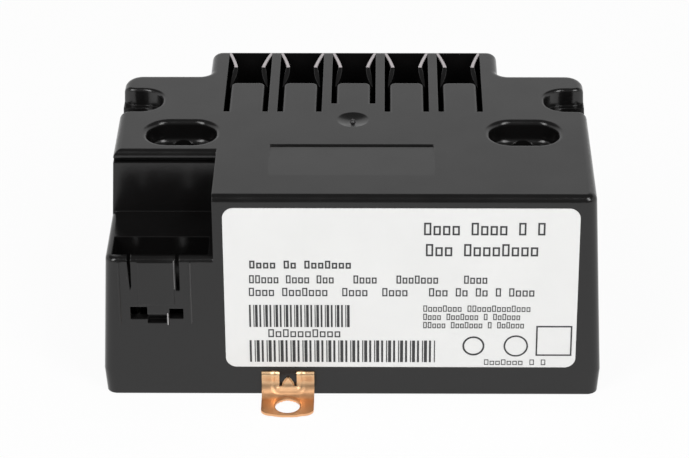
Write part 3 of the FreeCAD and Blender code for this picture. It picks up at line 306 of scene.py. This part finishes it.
def word_blocks(left, right, low, height, stroke, words):
    """Frames of one row, as left, right, low and high edges and a stroke for each.

    They stand at equal steps between the row's ends, with one step left out after each word.
    A word's first frame is tall, and so is each whose place in the word, times three, plus the
    word's length divides by four."""
    total = sum(words) + len(words) - 1
    step = (right - left) / (total - 1 + BLOCK_FILL)
    place = 0
    made = []
    for count in words:
        turns = np.arange(count)
        x = left + (place + turns) * step
        tall = np.where((turns * 3 + count) % 4 == 0, height, height * LOW_BLOCK)
        tall[:1] = height
        made.append(np.stack([x, x + step * BLOCK_FILL, np.full(count, low), low + tall,
                              np.full(count, stroke)], axis=1))
        place += count + 1
    return np.concatenate(made)


def bars(left, right, low, high, step):
    """Upright bars, two, one and three steps wide in turn, with gaps of three, one and two."""
    turns = np.arange(BAR_COUNT)
    width = step * (1 + (turns * 5 + 1) % 3)
    gap = step * (1 + (turns * 7 + 2) % 3)
    x = left + np.concatenate([[0], np.cumsum(width + gap)[:-1]])
    kept = x + width < right
    return np.stack([x, x + width, np.full(BAR_COUNT, low), np.full(BAR_COUNT, high)], axis=1)[kept]


def on_label(x, z, rise):
    """Points on the label: the front face leans back by a fixed slope as it rises."""
    label_low, label_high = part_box("label")
    slope = (label_high.y - label_low.y - LABEL_THICK) / (label_high.z - label_low.z)
    y = label_low.y + (z - label_low.z) * slope - rise
    return np.stack([x, y, z], axis=-1)


def loops_mesh(name, stacks, closed):
    """A mesh from arrays shaped (pieces, loops, corners, 3): each loop is joined to the next.

    A closed piece is also joined from its last loop to its first. Otherwise both are filled."""
    points = []
    faces = []
    first = 0
    for stack in stacks:
        count, loops, corners = stack.shape[:3]
        grid = first + np.arange(count * loops * corners).reshape(count, loops, corners)
        after = np.roll(grid, -1, axis=2)
        upper = np.roll(grid, -1, axis=1)
        upper_after = np.roll(after, -1, axis=1)
        kept = slice(None) if closed else slice(0, loops - 1)
        quads = np.stack([grid, after, upper_after, upper], axis=-1)[:, kept]
        faces += quads.reshape(-1, 4).tolist()
        if not closed:
            faces += grid[:, -1].tolist()
            faces += grid[:, 0, ::-1].tolist()
        points.append(stack.reshape(-1, 3))
        first += count * loops * corners
    mesh = bpy.data.meshes.new(name)
    mesh.from_pydata(np.concatenate(points).tolist(), [], faces)
    mesh.update()
    made = bpy.data.objects.new(name, mesh)
    bpy.context.scene.collection.objects.link(made)
    return made


def rectangles(x0, x1, z0, z1, rise):
    """The four corners of each rectangle on the label, anticlockwise seen from the front."""
    x = np.stack([x0, x1, x1, x0], axis=1)
    z = np.stack([z0, z0, z1, z1], axis=1)
    return on_label(x * MM, z * MM, rise)


rows = [word_blocks(*row) for row in PRINT_ROWS]
frames = np.concatenate(rows + [np.array([FRAME_MARK])])
x0, x1, z0, z1, stroke = frames.T
outer_low = rectangles(x0, x1, z0, z1, 0.0)
outer_high = rectangles(x0, x1, z0, z1, INK_THICK)
inner_high = rectangles(x0 + stroke, x1 - stroke, z0 + stroke, z1 - stroke, INK_THICK)
inner_low = rectangles(x0 + stroke, x1 - stroke, z0 + stroke, z1 - stroke, 0.0)
frame_loops = np.stack([outer_low, outer_high, inner_high, inner_low], axis=1)

angle = np.linspace(0, 2 * math.pi, RING_STEPS, endpoint=False)
ring_loops = []
for x, z, outer, inner in RINGS:
    circles = [(outer, 0.0), (outer, INK_THICK), (inner, INK_THICK), (inner, 0.0)]
    ring_loops.append(np.stack([on_label((x + r * np.cos(angle)) * MM, (z + r * np.sin(angle)) * MM,
                                         rise) for r, rise in circles]))
bar_edges = np.concatenate([bars(*field) for field in BAR_FIELDS])
x0, x1, z0, z1 = bar_edges.T
bar_loops = np.stack([rectangles(x0, x1, z0, z1, 0.0), rectangles(x0, x1, z0, z1, INK_THICK)],
                     axis=1)

label_ink = finish_of("black_label_ink", INK, rough=(0.4, 0.55), fine=3000.0, broad=900.0,
                      depth=0.002, IOR=1.5)
for name, stacks, closed in (("print_blocks_and_rings", [frame_loops, np.stack(ring_loops)], True),
                             ("print_bars", [bar_loops], False)):
    piece = loops_mesh(name, stacks, closed)
    piece.data.materials.append(label_ink)
    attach(piece, "root")
    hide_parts("label_print")


# Earth tab: copper plated strip, pierced and folded, with two prongs caught in the front
# wall. The press left it slightly raised round its window and round the earth screw's hole.
# Its colour is painted darker and browner towards the bottom, over the flange.
TAB_THICK = 0.5 * MM
TAB_BEND_R = 3.0 * MM
TAB_TOP_R = 0.8 * MM
TAB_END_R = 2.3 * MM
TAB_END_BOW = 0.5 * MM
TAB_LEAN = 0.025
WINDOW_HALF = 1.75 * MM
WINDOW_LOW_Z = 2.2 * MM
TOOTH_HALF = 1.25 * MM
TOOTH_TIP_Z = 3.9 * MM
TOOTH_TIP_HALF = 0.12 * MM
HOLE_R = 2.5 * MM
HOLE_OUT = 5.5 * MM
RIM_WIDTH = 0.8 * MM
RIM_RISE = 0.08 * MM
COIN_WIDTH = 1.9 * MM
COIN_RISE = 0.15 * MM
WAVE_RISE = 0.004 * MM
WAVE_SIZE = (2.1 * MM, 3.2308 * MM)
BLANK_STEP = 0.22 * MM
HOLE_CLEAR = 0.4
HOLE_FILL = 0.99
MERGE_SHARE = 0.01
HOLE_STEPS = 64
CORNER_STEPS = 9
END_STEPS = 15
SIDE_STEPS = 60
WINDOW_STEPS = 30
TAB_RIM_R = 0.07 * MM
SHARP_TURN = 50.0
COPPER = ((0.9, 0.58, 0.33), (0.96, 0.65, 0.38))
COPPER_ROUGH = (0.32, 0.42)
COPPER_DENT = 0.01 * MM
LOWER_COPPER_TONE = (0.86, 0.47, 0.24)
LOWER_COPPER_Z = (0.9 * MM, 3.0 * MM)

tab_low, tab_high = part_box("earth_clip")
tab_x = (tab_low.x + tab_high.x) / 2
tab_half = (tab_high.x - tab_low.x) / 2
front_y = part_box("housing")[0].y
face_y = front_y + TAB_LEAN * (TAB_BEND_R + TAB_THICK)
bend_y = face_y - TAB_THICK - TAB_BEND_R
flange = bend_y - tab_low.y
bend = TAB_BEND_R * math.pi / 2
upright = tab_high.z - TAB_TOP_R - TAB_THICK - TAB_BEND_R
top_bend = TAB_TOP_R * math.pi / 2
prong = tab_high.y - face_y - TAB_TOP_R


def fold(u, v, lift):
    """Folds a flat blank: u runs across, v along it from the flange's tip, lift is proud of it.

    The flange is flat, a quarter circle turns it upright, and a tighter one turns the prongs
    back into the wall. The normal turns with each arc, and lift is along it."""
    low_turn = np.clip((v - flange) / TAB_BEND_R, 0, math.pi / 2)
    rise = np.clip(v - flange - bend, 0, upright)
    top_turn = np.clip((v - flange - bend - upright) / TAB_TOP_R, 0, math.pi / 2)
    back = np.maximum(v - flange - bend - upright - top_turn * TAB_TOP_R, 0)
    y = (tab_low.y + np.minimum(v, flange) + TAB_BEND_R * np.sin(low_turn) + TAB_LEAN * rise
         + TAB_TOP_R * (1 - np.cos(top_turn)) + back)
    z = TAB_THICK + TAB_BEND_R * (1 - np.cos(low_turn)) + rise + TAB_TOP_R * np.sin(top_turn)
    facing = low_turn - top_turn
    return np.stack([tab_x + u, y - lift * np.sin(facing), z + lift * np.cos(facing)], axis=-1)


def pressed(u, v):
    """How far the press raised the strip: a squared sine away from the window's edge, half a
    sine wave away from the hole's, and faint crossed sine waves all over."""
    far = np.hypot(np.maximum(np.abs(u) - WINDOW_HALF, 0), np.maximum(window_low - v, 0))
    coined = COIN_RISE * np.sin(math.pi * np.clip(far / COIN_WIDTH, 0, 1)) ** 2
    ring = np.clip((np.hypot(u, v - hole_v) - HOLE_R) / RIM_WIDTH, 0, 1)
    wave = np.sin(u / WAVE_SIZE[0] * 2 * math.pi) * np.sin(v / WAVE_SIZE[1] * 2 * math.pi)
    return coined + RIM_RISE * np.sin(math.pi * ring) + WAVE_RISE * wave


def flat_blank(outline, hole, hole_centre, step):
    """Triangles over an outline less a round hole, on a square grid of points inside it.

    Grid points nearer the hole's edge than a share of a step are left out, and so are the
    triangles whose middles lie in the hole."""
    low = outline.min(axis=0)
    high = outline.max(axis=0)
    across, along = np.ceil((high - low) / step).astype(int)
    u, v = np.meshgrid(np.linspace(low[0], high[0], across)[1:-1],
                       np.linspace(low[1], high[1], along)[1:-1])
    inner = np.stack([u.ravel(), v.ravel()], axis=1)
    clear = np.hypot(*(inner - hole_centre).T) > HOLE_R + step * HOLE_CLEAR
    points = np.concatenate([outline, hole, inner[clear]])
    size = len(outline)
    hole_edges = [(size + i, size + (i + 1) % len(hole)) for i in range(len(hole))]
    solved = delaunay_2d_cdt([Vector(p) for p in points.tolist()], hole_edges,
                             [list(range(size))], 1, step * MERGE_SHARE)
    flat = np.array([tuple(p) for p in solved[0]])
    faces = np.array(solved[2])
    middles = flat[faces].mean(axis=1)
    return flat, faces[np.hypot(*(middles - hole_centre).T) > HOLE_R * HOLE_FILL]


def window_v(z):
    """Where a height on the upright, or on the upper part of the bend, lies along the blank."""
    turn = math.acos(max(0.0, 1 - (z - TAB_THICK) / TAB_BEND_R))
    over = max(0.0, z - TAB_THICK - TAB_BEND_R)
    return flange + TAB_BEND_R * turn + over


hole_v = front_y - HOLE_OUT - tab_low.y
end_v = flange + bend + upright + top_bend + prong
turn = np.linspace(0, math.pi / 2, CORNER_STEPS)
corner_u = tab_half - TAB_END_R + TAB_END_R * np.sin(turn)
corner_v = TAB_END_BOW + (TAB_END_R - TAB_END_BOW) * (1 - np.cos(turn))
bow_u = np.linspace(-1, 1, END_STEPS)[1:-1] * (tab_half - TAB_END_R)
bow_v = TAB_END_BOW * (bow_u / (tab_half - TAB_END_R)) ** 2
side_v = np.linspace(TAB_END_R, end_v, SIDE_STEPS)[1:]
window_low = window_v(WINDOW_LOW_Z)
window_v_run = np.linspace(end_v, window_low, WINDOW_STEPS)
tooth_v = window_v(TOOTH_TIP_Z)
tooth = np.array([(TOOTH_HALF, window_low), (TOOTH_TIP_HALF, tooth_v),
                  (-TOOTH_TIP_HALF, tooth_v), (-TOOTH_HALF, window_low)])
right_side = np.stack([np.full(len(side_v), tab_half), side_v], axis=1)
right_window = np.stack([np.full(len(window_v_run), WINDOW_HALF), window_v_run], axis=1)
flip = np.array([-1, 1])
right_half = np.concatenate([np.stack([corner_u, corner_v], axis=1), right_side, right_window])
outline = np.concatenate([np.stack([bow_u, bow_v], axis=1), right_half, tooth,
                          right_half[::-1] * flip])
angle = np.linspace(0, 2 * math.pi, HOLE_STEPS, endpoint=False)
hole_centre = np.array([0.0, hole_v])
hole = hole_centre + HOLE_R * np.stack([np.cos(angle), np.sin(angle)], axis=1)
flat, faces = flat_blank(outline, hole, hole_centre, BLANK_STEP)
u, v = flat.T
mesh = bpy.data.meshes.new("folded_earth_tab")
mesh.from_pydata(fold(u, v, pressed(u, v)).tolist(), [], faces.tolist())
mesh.shade_smooth()
earth_tab = bpy.data.objects.new("folded_earth_tab", mesh)
bpy.context.scene.collection.objects.link(earth_tab)
wall = earth_tab.modifiers.new("strip thickness", "SOLIDIFY")
wall.thickness = TAB_THICK
wall.offset = -1
rounding = earth_tab.modifiers.new("sheared edges", "BEVEL")
rounding.width = TAB_RIM_R
rounding.segments = 2
rounding.limit_method = "ANGLE"
rounding.angle_limit = math.radians(SHARP_TURN)
rounding.harden_normals = True

copper, tree, skin = material("copper_plated_strip", Metallic=1.0)
surface = use(tree, grain, Fine=900.0, Broad=260.0)
place = add(tree, "TexCoord")
level = add(tree, "SeparateXYZ", {0: place.outputs["Object"]}).outputs["Z"]
# Darker, browner copper towards the bottom of the tab.
pale = add(tree, "MapRange", {"Value": level, "From Min": LOWER_COPPER_Z[0], "From Max": LOWER_COPPER_Z[1]},
           interpolation_type="SMOOTHSTEP")
bright = tint(tree, surface["Cloud"], *COPPER)
tree.links.new(tint(tree, pale.outputs[0], LOWER_COPPER_TONE, bright), skin["Base Color"])
tree.links.new(shade(tree, surface["Height"], *COPPER_ROUGH), skin["Roughness"])
tree.links.new(bump(tree, surface["Cloud"], COPPER_DENT, strength=0.3), skin["Normal"])
mesh.materials.append(copper)
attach(earth_tab, "root")
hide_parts("earth_clip")


# Contacts: blades of the mains socket and the two round high voltage pins, all in tinned
# brass. The blades are pressed into a dark moulded carrier that closes the socket's foot.
TIN = ((0.62, 0.61, 0.58), (0.76, 0.75, 0.72))
CARRIER_GREY = ((0.018, 0.018, 0.019), (0.028, 0.028, 0.03), (0.05, 0.05, 0.052))

tinned = finish_of("tinned_brass", TIN, rough=(0.22, 0.38), fine=2500.0, broad=500.0,
                   depth=0.003, rim=0.15, Metallic=1.0)
dress(["hv_pin_left", "hv_pin_right", "mains_pin_live", "mains_pin_neutral", "mains_pin_earth"],
      tinned)
carrier = finish_of("carrier_moulding", CARRIER_GREY, rough=(0.4, 0.5), fine=3000.0,
                    broad=300.0, depth=0.01, rim=0.2)
dress(["pin_carrier"], carrier)


# Potting: black resin cast through the open base with the housing upside down.
# It set with a slightly rippled skin, a little below the rim, and a few burst bubbles.
RESIN = ((0.008, 0.008, 0.0085), (0.013, 0.013, 0.0135))
RESIN_ROUGH = (0.2, 0.34)
RIPPLE_DEPTH = 0.35 * MM
BUBBLE_DEPTH = 0.25 * MM
BUBBLE_SCALE = 130.0
BUBBLE_R = 0.16

bubbles, start, end = effect("burst_bubbles", {"Scale": BUBBLE_SCALE, "Size": BUBBLE_R},
                             {"Height": "Float"})
cells = add(bubbles, "TexVoronoi", {"Vector": start["Vector"], "Scale": start["Scale"],
                                    "Randomness": 1.0})
dish = add(bubbles, "MapRange", {"Value": cells.outputs["Distance"], "From Max": start["Size"]},
           interpolation_type="SMOOTHSTEP")
bubbles.links.new(dish.outputs[0], end["Height"])

resin, tree, skin = material("cast_resin", IOR=1.52)
surface = use(tree, grain, Fine=1200.0, Broad=70.0)
craters = use(tree, bubbles)
tree.links.new(tint(tree, surface["Cloud"], *RESIN), skin["Base Color"])
tree.links.new(shade(tree, surface["Cloud"], *RESIN_ROUGH), skin["Roughness"])
rippled = bump(tree, surface["Cloud"], RIPPLE_DEPTH, strength=0.6)
pitted = bump(tree, craters["Height"], BUBBLE_DEPTH, strength=0.8, normal=rippled)
tree.links.new(pitted, skin["Normal"])
dress(["potting_fill"], resin)


# Circuit board: glass fibre laminate with a green lacquer over its copper tracks, which
# show as a lighter pattern of runs.
BOARD_GREEN = ((0.012, 0.075, 0.03), (0.018, 0.1, 0.042))
BOARD_ROUGH = (0.25, 0.4)
TRACK_GREEN = (0.045, 0.2, 0.085)
TRACK_SCALE = 90.0
TRACK_WIDTH = 0.09
TRACK_SHIFT = 0.37
TRACK_RISE = 0.03 * MM

board, tree, skin = material("lacquered_board", IOR=1.55)
surface = use(tree, grain, Fine=2500.0, Broad=150.0)
place = add(tree, "TexCoord")
tracks = add(tree, "TexBrick", {"Vector": place.outputs["Object"], "Scale": TRACK_SCALE,
                                "Mortar Size": TRACK_WIDTH, "Color1": (0, 0, 0, 1),
                                "Color2": (0, 0, 0, 1), "Mortar": (1, 1, 1, 1)},
             offset=TRACK_SHIFT)
lacquer = tint(tree, surface["Cloud"], *BOARD_GREEN)
tree.links.new(tint(tree, tracks.outputs["Fac"], lacquer, TRACK_GREEN), skin["Base Color"])
tree.links.new(shade(tree, surface["Cloud"], *BOARD_ROUGH), skin["Roughness"])
tree.links.new(bump(tree, tracks.outputs["Fac"], TRACK_RISE), skin["Normal"])
dress(["circuit_board"], board)


# High voltage transformer: two sintered ferrite halves, ground where they meet, held by a
# spring steel band round their backs.
FERRITE = ((0.018, 0.018, 0.02), (0.035, 0.035, 0.038))
SPRING_STEEL = ((0.36, 0.36, 0.38), (0.5, 0.5, 0.52))

ferrite = finish_of("sintered_ferrite", FERRITE, rough=(0.5, 0.68), fine=1800.0, broad=500.0,
                    depth=0.03, rim=0.2)
dress(["core_left", "core_right", "choke_core"], ferrite)
spring = finish_of("rolled_spring_steel", SPRING_STEEL, rough=(0.25, 0.4), fine=5000.0,
                   broad=200.0, depth=0.004, Metallic=1.0)
dress(["core_clamp"], spring)


# Windings: enamelled copper wire on pale moulded bobbins. The turns run round the core's
# axis, along X, and round Z on the upright choke.
NYLON = ((0.62, 0.58, 0.49), (0.7, 0.66, 0.57))
ENAMEL = (0.42, 0.13, 0.045)
ENAMEL_LIT = (0.66, 0.26, 0.1)
ENAMEL_ROUGH = (0.45, 0.25)
TURN_RISE = 0.5

turns, start, end = effect("wire_turns", {"Pitch": 0.3 * MM}, {"Height": "Float"})
along = add(turns, "SeparateXYZ", {0: start["Vector"]})
count = maths(turns, "DIVIDE", along.outputs["X"], start["Pitch"])
crest = maths(turns, "SINE", maths(turns, "MULTIPLY", count, math.pi))
turns.links.new(maths(turns, "ABSOLUTE", crest), end["Height"])

bobbin = finish_of("bobbin_nylon", NYLON, rough=(0.4, 0.5), fine=2500.0, broad=200.0,
                   depth=0.01, rim=0.15)
dress(["primary_bobbin", "hv_bobbin"], bobbin)
for name, pitch, turn, members in (
        ("primary_wire", 0.45, (0, 0, 0), ["primary_winding"]),
        ("secondary_wire", 0.12, (0, 0, 0), ["secondary_winding_left", "secondary_winding_right"]),
        ("choke_wire", 0.5, (0, math.pi / 2, 0), ["choke_winding"])):
    wire, tree, skin = material(name, Coat_Weight=0.6, Coat_Roughness=0.2)
    wound = use(tree, turns, turn=turn, Pitch=pitch * MM)
    # The crest of each turn is painted lighter, a painted highlight on the wire.
    tree.links.new(tint(tree, wound["Height"], ENAMEL, ENAMEL_LIT), skin["Base Color"])
    tree.links.new(shade(tree, wound["Height"], *ENAMEL_ROUGH), skin["Roughness"])
    tree.links.new(bump(tree, wound["Height"], pitch * TURN_RISE * MM), skin["Normal"])
    dress(members, wire)


# Capacitors: the electrolytic can in its shrunk sleeve, with a pale stripe down one side,
# and two film capacitors in yellow moulded boxes.
SLEEVE = ((0.012, 0.016, 0.05), (0.018, 0.024, 0.07))
SLEEVE_ROUGH = (0.25, 0.35)
SLEEVE_DENT = 0.02 * MM
STRIPE = (0.45, 0.46, 0.5)
STRIPE_HALF = 1.6 * MM
BOX_YELLOW = ((0.55, 0.36, 0.035), (0.62, 0.42, 0.05), (0.7, 0.5, 0.1))

can_low, can_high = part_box("smoothing_capacitor")
sleeve, tree, skin = material("shrunk_sleeve", IOR=1.5)
surface = use(tree, grain, Fine=1500.0, Broad=200.0)
place = add(tree, "TexCoord")
spot = add(tree, "Mapping", {"Vector": place.outputs["Object"],
                             "Location": ((can_low.x + can_high.x) / 2, can_high.y, 0)},
           vector_type="TEXTURE")
parts = add(tree, "SeparateXYZ", {0: spot.outputs[0]}).outputs
narrow = maths(tree, "LESS_THAN", maths(tree, "ABSOLUTE", parts["X"]), STRIPE_HALF)
near = maths(tree, "GREATER_THAN", parts["Y"], -STRIPE_HALF)
film = tint(tree, surface["Cloud"], *SLEEVE)
stripe = maths(tree, "MULTIPLY", narrow, near)
tree.links.new(tint(tree, stripe, film, STRIPE), skin["Base Color"])
tree.links.new(shade(tree, surface["Cloud"], *SLEEVE_ROUGH), skin["Roughness"])
tree.links.new(bump(tree, surface["Cloud"], SLEEVE_DENT), skin["Normal"])
dress(["smoothing_capacitor"], sleeve)
boxes = finish_of("capacitor_box_yellow", BOX_YELLOW, rough=(0.3, 0.42), fine=2500.0,
                  broad=200.0, depth=0.008, rim=0.25)
dress(["suppression_capacitor", "resonance_capacitor"], boxes)


# Power transistor and rectifier diodes in black moulded epoxy. The transistor is screwed
# to a rolled aluminium plate beside the transformer.
EPOXY = ((0.014, 0.014, 0.015), (0.022, 0.022, 0.023), (0.045, 0.045, 0.046))
ALUMINIUM = ((0.5, 0.5, 0.52), (0.64, 0.64, 0.66))
ZINC = ((0.45, 0.46, 0.48), (0.6, 0.61, 0.62))

epoxy = finish_of("moulded_epoxy", EPOXY, rough=(0.45, 0.6), fine=3500.0, broad=300.0,
                  depth=0.02, rim=0.12)
dress(["power_transistor", "rectifier_diodes"], epoxy)
sheet = finish_of("rolled_aluminium", ALUMINIUM, rough=(0.3, 0.45), fine=4000.0, broad=150.0,
                  depth=0.004, rim=0.15, Metallic=1.0)
dress(["heat_spreader"], sheet)
zinc = finish_of("zinc_plated_screw", ZINC, rough=(0.28, 0.42), fine=3000.0, broad=600.0,
                 depth=0.004, rim=0.12, Metallic=1.0)
dress(["transistor_screw"], zinc)


# Small parts on the board: lacquered resistors, a ceramic fuse and a dipped blue varistor.
# They stand or lie on the lacquer, held by their wires and then by the resin.
LACQUER = ((0.42, 0.3, 0.16), (0.52, 0.38, 0.21))
CERAMIC = ((0.55, 0.52, 0.44), (0.63, 0.6, 0.52))
DIPPED_BLUE = ((0.012, 0.06, 0.24), (0.02, 0.085, 0.32))

for name, colours, rough, slot, members in (
        ("lacquered_resistor", LACQUER, (0.35, 0.5), "resistor_body", ["resistors"]),
        ("ceramic_fuse_tube", CERAMIC, (0.25, 0.4), "fuse_body", ["fuse"]),
        ("dipped_varistor", DIPPED_BLUE, (0.2, 0.35), "varistor_blue", ["varistor"])):
    made = finish_of(name, colours, rough, fine=2000.0, broad=400.0, depth=0.02)
    dress(members, made)


# Leads: red silicone sleeve from the windings to the high voltage pins, and a green one
# from the earth blade to the tab's prong.
RED = ((0.3, 0.012, 0.01), (0.42, 0.02, 0.016))
GREEN = ((0.05, 0.2, 0.03), (0.08, 0.28, 0.045))

red_sleeve = finish_of("red_silicone", RED, rough=(0.4, 0.55), fine=2000.0, broad=300.0,
                       depth=0.015)
dress(["hv_lead_left", "hv_lead_right"], red_sleeve)
green_sleeve = finish_of("green_sleeve", GREEN, rough=(0.4, 0.55), fine=2000.0, broad=300.0,
                         depth=0.015)
dress(["earth_lead"], green_sleeve)


# Table: a wide sheet of pale matt paper that the transformer stands on. Seen by the camera
# or in gloss it is nearly white and keeps the shadow, and from below it is clear.
FLOOR_SIZE = 6.0
FLOOR_DROP = 0.2 * MM
PAPER = (0.88, 0.88, 0.88)
PAPER_GLOW = 0.94


def shown_ray(tree):
    """1 for rays from the camera, or seen in gloss or through glass."""
    path = add(tree, "LightPath").outputs
    seen = maths(tree, "MAXIMUM", path["Is Camera Ray"], path["Is Glossy Ray"])
    return maths(tree, "MAXIMUM", seen, path["Is Transmission Ray"])


half = FLOOR_SIZE / 2
mesh = bpy.data.meshes.new("table")
mesh.from_pydata([(-half, -half, -FLOOR_DROP), (half, -half, -FLOOR_DROP),
                  (half, half, -FLOOR_DROP), (-half, half, -FLOOR_DROP)], [], [(0, 1, 2, 3)])
table = bpy.data.objects.new("table", mesh)
bpy.context.scene.collection.objects.link(table)
paper, tree, skin = material("pale_paper", Base_Color=PAPER, Roughness=0.9)
shader = tree.nodes["Principled BSDF"]
glow = add(tree, "Emission", {"Color": (1, 1, 1, 1), "Strength": 1.0})
share = maths(tree, "MULTIPLY", shown_ray(tree), PAPER_GLOW)
blend = add(tree, "MixShader", {0: share, 1: shader.outputs[0], 2: glow.outputs[0]})
under = add(tree, "NewGeometry").outputs["Backfacing"]
clear = add(tree, "BsdfTransparent")
sheet = add(tree, "MixShader", {0: under, 1: blend.outputs[0], 2: clear.outputs[0]})
tree.links.new(sheet.outputs[0], tree.nodes["Material Output"].inputs["Surface"])
mesh.materials.append(paper)


# Light: a white studio. In gloss its pale backdrop stands behind and at the sides, and ends
# a little above what the top reflects. Two soft boxes stand to the front left and right, so
# that each rounded rim has a highlight on each side.
SKY_DIFFUSE = 0.30
SKY_GLOSS = (0.14, 0.82)
SKY_FADE = (0.5, 0.64)
FRONT_FADE = (-0.6, -0.2)
LAMP_DISTANCE = 0.95
LAMP_TURN = 42.0
LAMP_LIFT = 44.0
LAMP_SIZE = (0.3, 0.66)
LAMP_POWER = 4.1

world = bpy.data.worlds.new("studio")
bpy.context.scene.world = world
world.use_nodes = True
tree = world.node_tree
sky = tree.nodes["Background"]
sky.inputs["Color"].default_value = (1, 1, 1, 1)
place = add(tree, "TexCoord")
towards = add(tree, "SeparateXYZ", {0: place.outputs["Generated"]}).outputs
low_down = add(tree, "MapRange", {"Value": towards["Z"], "From Min": SKY_FADE[0],
                                  "From Max": SKY_FADE[1], "To Min": 1.0, "To Max": 0.0},
               interpolation_type="SMOOTHSTEP")
behind = add(tree, "MapRange", {"Value": towards["Y"], "From Min": FRONT_FADE[0],
                                "From Max": FRONT_FADE[1]}, interpolation_type="SMOOTHSTEP")
backdrop = maths(tree, "MULTIPLY", low_down.outputs[0], behind.outputs[0])
path = add(tree, "LightPath").outputs
seen = add(tree, "Mix", {0: path["Is Camera Ray"], 2: SKY_DIFFUSE, 3: 1.0})
gloss = maths(tree, "MAXIMUM", path["Is Glossy Ray"], path["Is Transmission Ray"])
level = add(tree, "Mix", {0: gloss, 2: seen.outputs[0], 3: shade(tree, backdrop, *SKY_GLOSS)})
tree.links.new(level.outputs[0], sky.inputs["Strength"])

turn = math.radians(LAMP_TURN)
lift = math.radians(LAMP_LIFT)
for side in (-1, 1):
    lamp = bpy.data.lights.new("soft_box", "AREA")
    lamp.shape = "RECTANGLE"
    lamp.size, lamp.size_y = LAMP_SIZE
    lamp.energy = LAMP_POWER
    holder = bpy.data.objects.new("soft_box", lamp)
    direction = Vector((side * math.cos(lift) * math.sin(turn), -math.cos(lift) * math.cos(turn),
                        math.sin(lift)))
    holder.location = direction * LAMP_DISTANCE
    holder.rotation_euler = (-direction).to_track_quat("-Z", "Y").to_euler()
    bpy.context.scene.collection.objects.link(holder)


# Camera: a long lens above the front, at the photograph's own angle. Its three axes and its
# place were fitted to the housing's outline.
CAMERA_AT = (6.615 * MM, -511.621 * MM, 312.379 * MM)
CAMERA_RIGHT = (0.9998967, 0.0132945, -0.00546301)
CAMERA_UP = (-0.00180639, 0.49330394, 0.86985514)
CAMERA_BACK = (0.01425922, -0.86975541, 0.493277)
SENSOR_WIDTH = 36.0
LENS = 148.1
CLIP_RANGE = (0.05, 20.0)

eye = bpy.data.objects.new("camera", bpy.data.cameras.new("camera"))
eye.data.sensor_width = SENSOR_WIDTH
eye.data.lens = LENS
eye.data.clip_start, eye.data.clip_end = CLIP_RANGE
turned = Matrix((CAMERA_RIGHT, CAMERA_UP, CAMERA_BACK)).transposed()
eye.matrix_world = Matrix.Translation(CAMERA_AT) @ turned.to_4x4()
bpy.context.scene.collection.objects.link(eye)
bpy.context.scene.camera = eye
bpy.context.scene.view_settings.view_transform = "Standard"
